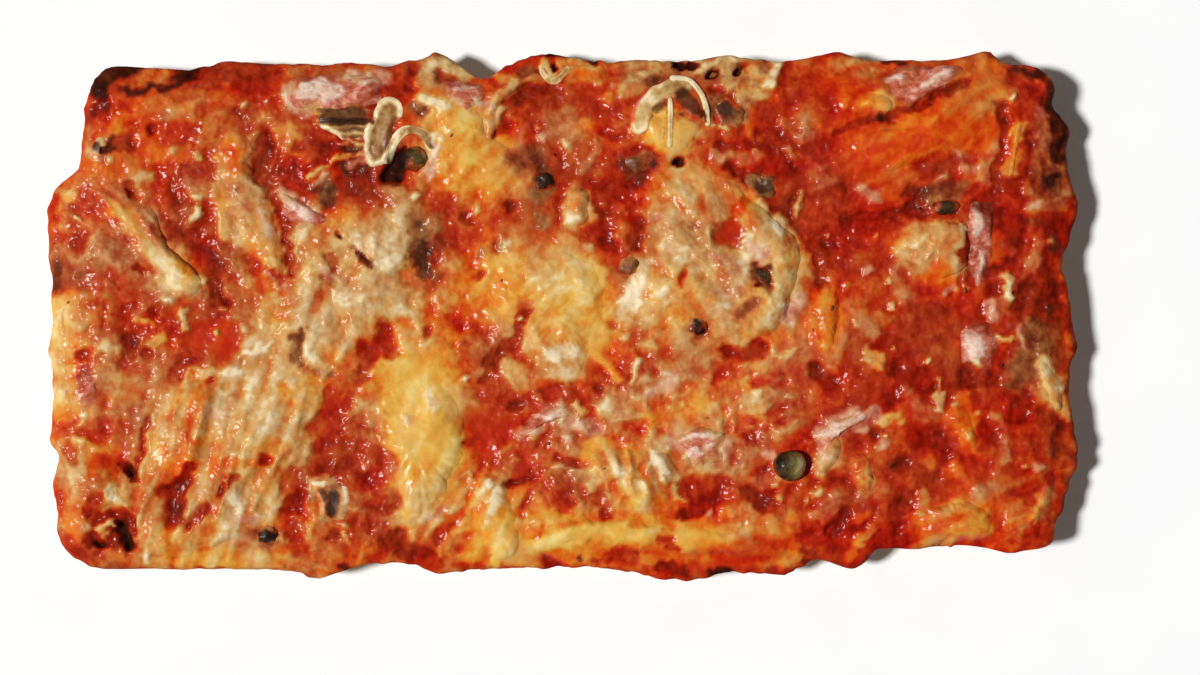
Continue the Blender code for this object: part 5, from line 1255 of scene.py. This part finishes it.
def base_piece():
    """The dough: hidden on top, with blistered browned sides and a floury underside."""
    plan = Blot("baked_base", 0, 0)
    rim = plan.rim * (1 + bumps(NUDGES, *plan.rim.T) / np.hypot(*plan.rim.T))[:, None]
    run = np.roll(rim, -3, axis=0) - np.roll(rim, 3, axis=0)
    out = np.stack([run[:, 1], -run[:, 0]], axis=1) / np.hypot(*run.T)[:, None]
    rim = rim + out * (0.4 * rough(*rim.T, 3.5, 24) - 1.0)[:, None]
    arc = np.arange(len(rim)) * 0.5
    places, bread = [], []

    def add_ring(spot, height, tone):
        places.append(np.column_stack([spot, height + 0 * arc]))
        bread.append(tone + 0 * arc)

    for share in DOUGH_TOP:
        spot = plan.middle + share * (rim - plan.middle)
        add_ring(spot, read(base_top, *spot.T) - 0.6, 0.3)
    high = DOUGH_SIDE + 0.5 * rough(arc, 0 * arc, 6.0, 25)
    for level in np.linspace(1, 0, 24):
        # Side of a risen dough: fullest a third of the way up, tucked in on the tray
        belly = 0.5 - 2.2 * (level - 0.4) ** 2 - 0.9 * smooth(0.12, 0, level)
        blister = 0.5 * rough(arc, DOUGH_SIDE * level + 0 * arc, 3.2, 26) * min(1, 4 * level)
        # The side browns towards the top and stays pale in a band above the tray
        tone = 0.35 + 0.5 * smooth(0.75, 0.2, level + 0.1 * rough(arc, 0 * arc, 5.0, 27))
        add_ring(rim + out * (belly + blister - 0.5)[:, None], high * level, tone)
    for share in DOUGH_UNDERSIDE:
        add_ring(plan.middle + share * (rim - out * 1.2 - plan.middle), 0, 0.75)
    put(loft("baked_dough_base", np.array(places), {"bread": np.array(bread)}), "crust", "baked_base")


# A topping's underside: its loops as shares of the way out, how far it is sunk in, and its least thickness
UNDER = (1, 0.96, 0.8, 0.6, 0.4, 0.2, 0)
SUNK = 0.6
THINNEST = 0.3


def rings_of(plan):
    """Shares of the way out for a piece's loops, closer together at its rim."""
    count = max(4, round(plan.depth / STEP))
    if count <= 8:
        return np.linspace(0, 1, count + 1)
    return np.concatenate([1 - (1 - np.arange(count) / count) ** 1.25, [0.97, 0.99, 1.0]])


def lay(name, plan, over, slot, marks_at, *nodes):
    """Lay a piece on the ground: its top from over, and its underside just sunk in."""
    rings = rings_of(plan)
    shares = np.concatenate([rings, UNDER])[:, None]
    x, y = np.moveaxis(plan.core + shares[..., None] * (plan.rim - plan.core), -1, 0)
    share = np.broadcast_to(shares, x.shape)
    area = window(plan.rim, 4)
    level = ground.copy()
    level[area] = blur(ground[area], 1.4)
    top = over(x, y, share, read(level, x, y), read(ground, x, y))
    under = np.minimum(read(ground, x, y) - SUNK, top - THINNEST)
    z = np.where(np.arange(len(shares))[:, None] < len(rings), top, under)
    put(loft(name, np.stack([x, y, z], axis=-1), marks_at(x, y, share)), slot, *nodes)
    spread = plan.share(MAP_X[area], MAP_Y[area])
    high = over(MAP_X[area], MAP_Y[area], spread, level[area], ground[area])
    ground[area] = np.where(spread < 1, np.maximum(ground[area], high), ground[area])


def lay_cheese(name, melt):
    """Lay a piece of melted cheese; melt gives how much it evens out what it covers, and its own height."""

    def over(x, y, share, level, floor):
        evened, height = melt(x, y, share)
        return floor * (1 - evened) + (level + read(fine, x, y)) * evened + height

    melted = name.replace("cheese_", "melted_")
    lay(melted, plans[name], over, "cheese", lambda x, y, share: look_at(x, y), name)


def folds(x, y, height, size, direction):
    """Ridges of stretched cheese, long the way that they run."""
    along, across = turned(x, y, math.radians(direction))
    ridge = 1 - 2.2 * np.abs(rough(along / 2.6, across, size, direction + 3, 2))
    return height * ridge + 0.25 * height * rough(along / 2.6, across, size / 2.5, direction + 9, 2)


def lay_blot(name, index):
    """A patch of melted cheese: it runs out into the sauce, or ends in a free lip on one side."""
    thick, lip, facing, *fold = BLOTS[name][2:]

    def melt(x, y, share):
        dx, dy = x - plans[name].middle[0], y - plans[name].middle[1]
        towards = turned(dx, dy, math.radians(facing))[0] / np.maximum(np.hypot(dx, dy), 0.1)
        loose = smooth(0.1, 0.7, towards + 0.35 * rough(x, y, 6.0, 100 + index)) if lip else 0
        body = np.maximum(thick + folds(x, y, *fold), 0.2) + loose * lip * 0.5 * smooth(0.6, 0.85, share)
        run_out = np.clip(share, 0, 1) ** (2.5 + 5 * loose)
        return (0.5 * loose + 0.3) * (1 - run_out), body * (1 - run_out) - 0.5 * run_out

    lay_cheese(name, melt)


def lay_ribbon(name, index):
    """A strip of melted cheese."""
    thick, width = RIBBONS[name][2:4]

    def melt(x, y, share):
        inner = (1 - np.clip(share, 0, 1) ** 2) ** 1.5
        body = min(thick, 0.17 * width) * (1 + 0.35 * rough(x, y, 3.0, 300 + index))
        return 0.3 * inner, body * inner - 0.4 * (1 - inner)

    lay_cheese(name, melt)


fat_field, pale_field, pale_cover = (np.zeros_like(MAP_X) for _ in range(3))
for width, *line in FAT:
    area, mask = stroke_mask(width, line, 0.35)
    fat_field[area] = np.maximum(fat_field[area], mask)
for pale, width, *line in MUSHROOM_MARKS:
    area, mask = stroke_mask(width, line, 0.3, steady=0.75)
    pale_field[area] = pale_field[area] * (1 - mask) + pale * mask
    pale_cover[area] = pale_cover[area] * (1 - mask) + mask


def covered(x, y, share, amount, seed):
    """How much of a piece's rim the sauce and cheese run over."""
    return smooth(1.05 - amount, 1.15 - 0.3 * amount, share + 0.4 * rough(x, y, 3.0, seed))


def pressed_in(body, floor, share, steepness):
    """A topping's height, which goes down into the floor at its rim."""
    run_out = np.clip(share, 0, 1) ** steepness
    return body * (1 - run_out) + (floor - 0.3) * run_out


def lay_ham(name, index):
    """A cut piece of ham, pressed into the cheese, with sauce over parts of its rim."""
    plan = Blot(name, 0.5, 500 + index, grain=2.8, soften=4)
    thick = min(0.7, 0.13 * plan.depth)

    def dents(x, y):
        return rough(x, y, 1.7, 540 + index, 2)

    def cover(x, y, share):
        return covered(x, y, share, 0.55, 520 + index)

    def over(x, y, share, level, floor):
        body = level + thick * (1 + 0.3 * rough(x, y, 4.5, 510 + index)) - 0.2 * dents(x, y)
        body = np.maximum(body + 0.25 * read(fat_field, x, y), floor + 0.2)
        return pressed_in(body, floor, share, 5 - 2 * cover(x, y, share))

    def marks_at(x, y, share):
        sauced = np.maximum(cover(x, y, share), 0.6 * smooth(0.2, 0.6, dents(x, y)))
        return {"fat": read(fat_field, x, y), "sauced": sauced, "tone": read(surface["tone"], x, y)}

    lay(name.replace("ham_", "ham_slice_"), plan, over, "ham", marks_at, name)


def gill_waves(x, y):
    """Gills of a mushroom, 1.25 mm apart."""
    return np.sin(2 * math.pi * (y + 0.5 * rough(x, y, 5.0, 610)) / 1.25)


def lay_mushroom(name, plan, seed, own, thick, sauce, gills=0, deep=0, hollow=0):
    """A slice of mushroom: cream flesh or brown gills, with sauce and cheese at its rim or over it."""

    def cover(x, y, share):
        return covered(x, y, share, sauce, seed + 40)

    def over(x, y, share, level, floor):
        marked = read(pale_cover, x, y)
        full = 1 - deep * (1 - marked) - hollow * (1 - share ** 2)
        body = level + thick * full + 0.12 * gills * gill_waves(x, y) + 0.2 * rough(x, y, 3.0, seed, 2)
        body = np.maximum(body + 0.45 * (read(pale_field, x, y) - 0.5) * marked, floor + 0.1)
        return pressed_in(body, floor, share, 7 - 3 * cover(x, y, share))

    def marks_at(x, y, share):
        marked = read(pale_cover, x, y)
        pale = own + 0.16 * gills * gill_waves(x, y) + 0.2 * rough(x, y, 2.5, seed + 20)
        # Paler towards the rim, and more on a hollow strip, whose darker middle is painted shade
        pale = pale + (0.15 + 0.35 * hollow) * smooth(0.35, 0.7, share)
        sauced = np.maximum(0.9 * cover(x, y, share), deep) * (1 - 0.9 * marked)
        return {"pale": pale * (1 - marked) + read(pale_field, x, y), "sauced": sauced,
                "tone": read(surface["tone"], x, y)}

    nodes = [name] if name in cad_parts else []
    lay(name + "_slice", plan, over, "mushroom", marks_at, *nodes)


def bud_piece(name, wrinkle, own, to_right, size, height, sink):
    """A caper or a bit of olive: a bud with lengthwise folds, sunk into what it lies on."""
    low, high = (np.array(corner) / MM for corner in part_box(name))
    middle, half = (low + high) / 2, size * (high - low) / 2
    half[2] = height * min(half[:2])
    middle[2] = read(ground, *middle[:2]) + (0.9 - sink) * half[2]
    bm = bmesh.new()
    bmesh.ops.create_uvsphere(bm, u_segments=48, v_segments=32, radius=1.0)
    bmesh.ops.rotate(bm, verts=bm.verts, matrix=Matrix.Rotation(0.5, 3, "X"))
    mesh = mesh_of(bm, name + "_bud")
    ball = points_of(mesh)
    u, v, w = ball.T
    ridges = 0.3 * np.sin(3 * np.arctan2(v, u) + 3 * w) * (1 - w ** 2)
    uneven = 1 + wrinkle * (ridges + rough(2 * u + middle[0], 2 * v + 2 * w + middle[1], 1.7, 700))
    places = ball * uneven[:, None] * half + middle
    mesh.vertices.foreach_set("co", (places * MM).ravel())
    # Sauce creeps up from where the bud comes out of the toppings
    x, y, z = places.T
    out = z - read(ground, x, y)
    out = out / max(0.4, out.max())
    sauced = min(1, 1.2 * sink) * smooth(0.75, 0.15, out + 0.35 * rough(x, y, 1.4, 720, 2))
    # Paler towards the top and to the right: painted light on the bud
    mark(mesh, {"pale": own + 0.25 * w + to_right * u, "sauced": sauced, "tone": read(surface["tone"], x, y)})
    put(mesh, "caper", name)


def herb_flecks(seed=33):
    """Flecks of herb half melted into the toppings, each a lumpy little body of its own."""
    rng = np.random.default_rng(seed)
    inside = smooth(7.0, 8.5, base_top)
    bm = bmesh.new()
    places = []
    while len(places) < HERBS:
        x, y = rng.uniform(-92, 92), rng.uniform(-46, 46)
        if rng.random() > read(inside, x, y):
            continue
        size = rng.uniform(*HERB_SIZES)
        half = size * MM / 2
        middle = Vector((x, y, float(read(ground, x, y)) + 0.1 * size * HERB_FLAT)) * MM
        shape = (Matrix.Translation(middle)
                 @ Matrix.Rotation(rng.uniform(0, math.tau), 4, "Z")
                 @ Matrix.Rotation(rng.uniform(-0.4, 0.4), 4, "X")
                 @ Matrix.Diagonal((half, half * rng.uniform(0.4, 0.9), half * HERB_FLAT, 1)))
        new = bmesh.ops.create_icosphere(bm, subdivisions=2, radius=1.0)["verts"]
        for vert in new:
            vert.co *= 1 + 0.3 * noise(vert.co.x + 9 * len(places), vert.co.y + vert.co.z, 0.7, seed)
        bmesh.ops.transform(bm, matrix=shape, verts=new)
        places.append((x, y))
    mesh = mesh_of(bm, "herb_flecks")
    each = len(mesh.vertices) // HERBS
    tone = np.repeat([read(surface["tone"], x, y) for x, y in places], each)
    for key, value in (("pale", 0.15), ("sauced", 0.3), ("tone", tone)):
        mark(mesh, {key: value + 0.06 * np.repeat(rng.uniform(-1, 1, HERBS), each)})
    put(mesh, "caper")


base_piece()
sheet_piece()
for index, name in enumerate(BLOTS):
    lay_blot(name, index)
for index, name in enumerate(RIBBONS):
    lay_ribbon(name, index)
for index, name in enumerate(sorted(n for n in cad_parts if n.startswith("ham_"))):
    lay_ham(name, index)
for index, (name, row) in enumerate(MUSHROOMS.items()):
    own, thick, sauce, ragged, gills, deep, soften = row
    plan = Blot(name, ragged, 600 + index, grain=2.6, soften=soften)
    lay_mushroom(name, plan, 600 + index, own, thick, sauce, gills, deep)
for index, (name, row) in enumerate(MUSHROOM_STRIPS.items()):
    own, thick, width, hollow, line = row
    plan = Ribbon(line, width, 0.25, 640 + index)
    lay_mushroom(name, plan, 640 + index, own, thick, 0.3, hollow=hollow)
for name, row in BUDS.items():
    bud_piece(name, *row)
herb_flecks()

# The floor's half side in metres
FLOOR = 3.0
# The picture's width in mm at the height of the toppings, and that height; its middle lies a little to
# the right of the slice's
PICTURE_WIDTH = 215.9
TOPPINGS = 10
EYE_X, EYE_Y = 7.2, -3.9
FOCAL_LENGTH = 85
SENSOR = 36
# The key light: the way that it shines, its strength, and its spread in degrees; and the fill's strength
KEY_WAY = (0.81, 0.07, -1.22)
KEY_STRENGTH = 3.7
KEY_SPREAD = 8
FILL_STRENGTH = 0.11


def surroundings():
    """A plain pale floor, a soft key light from the left, weak fill and a long lens straight above."""
    scene = bpy.context.scene

    def bring(data, name):
        thing = bpy.data.objects.new(name, data)
        scene.collection.objects.link(thing)
        return thing

    mesh = grid("floor", 1, 1, FLOOR)
    made, tree, place = new_material("white_table", {"Roughness": 0.6})
    grit = add(tree, "TexNoise", {"Vector": place, "Scale": per_mm(30), "Detail": 2})
    white = add(tree, "ValToRGB", {"Fac": grit, "stops": TABLE_WHITE})
    mesh.materials.append(finished(made, {"Base Color": white}))
    floor = bring(mesh, "floor")

    lamp = bpy.data.lights.new("key_from_left", "SUN")
    lamp.color = colour(LAMP_WHITE)[:3]
    lamp.energy = KEY_STRENGTH
    lamp.angle = math.radians(KEY_SPREAD)
    bring(lamp, "key_from_left").rotation_euler = Vector(KEY_WAY).to_track_quat("-Z", "Y").to_euler()
    world = bpy.data.worlds.new("studio")
    world.use_nodes = True
    world.node_tree.nodes["Background"].inputs["Color"].default_value = colour(LAMP_WHITE)
    world.node_tree.nodes["Background"].inputs["Strength"].default_value = FILL_STRENGTH
    scene.world = world

    lens = bpy.data.cameras.new("above")
    lens.lens = FOCAL_LENGTH
    lens.sensor_width = SENSOR
    lens.clip_start = 0.01
    scene.camera = bring(lens, "above")
    distance = PICTURE_WIDTH * FOCAL_LENGTH / SENSOR
    scene.camera.location = (EYE_X * MM, EYE_Y * MM, (TOPPINGS + distance) * MM)
    scene.view_settings.view_transform = "Standard"


surroundings()
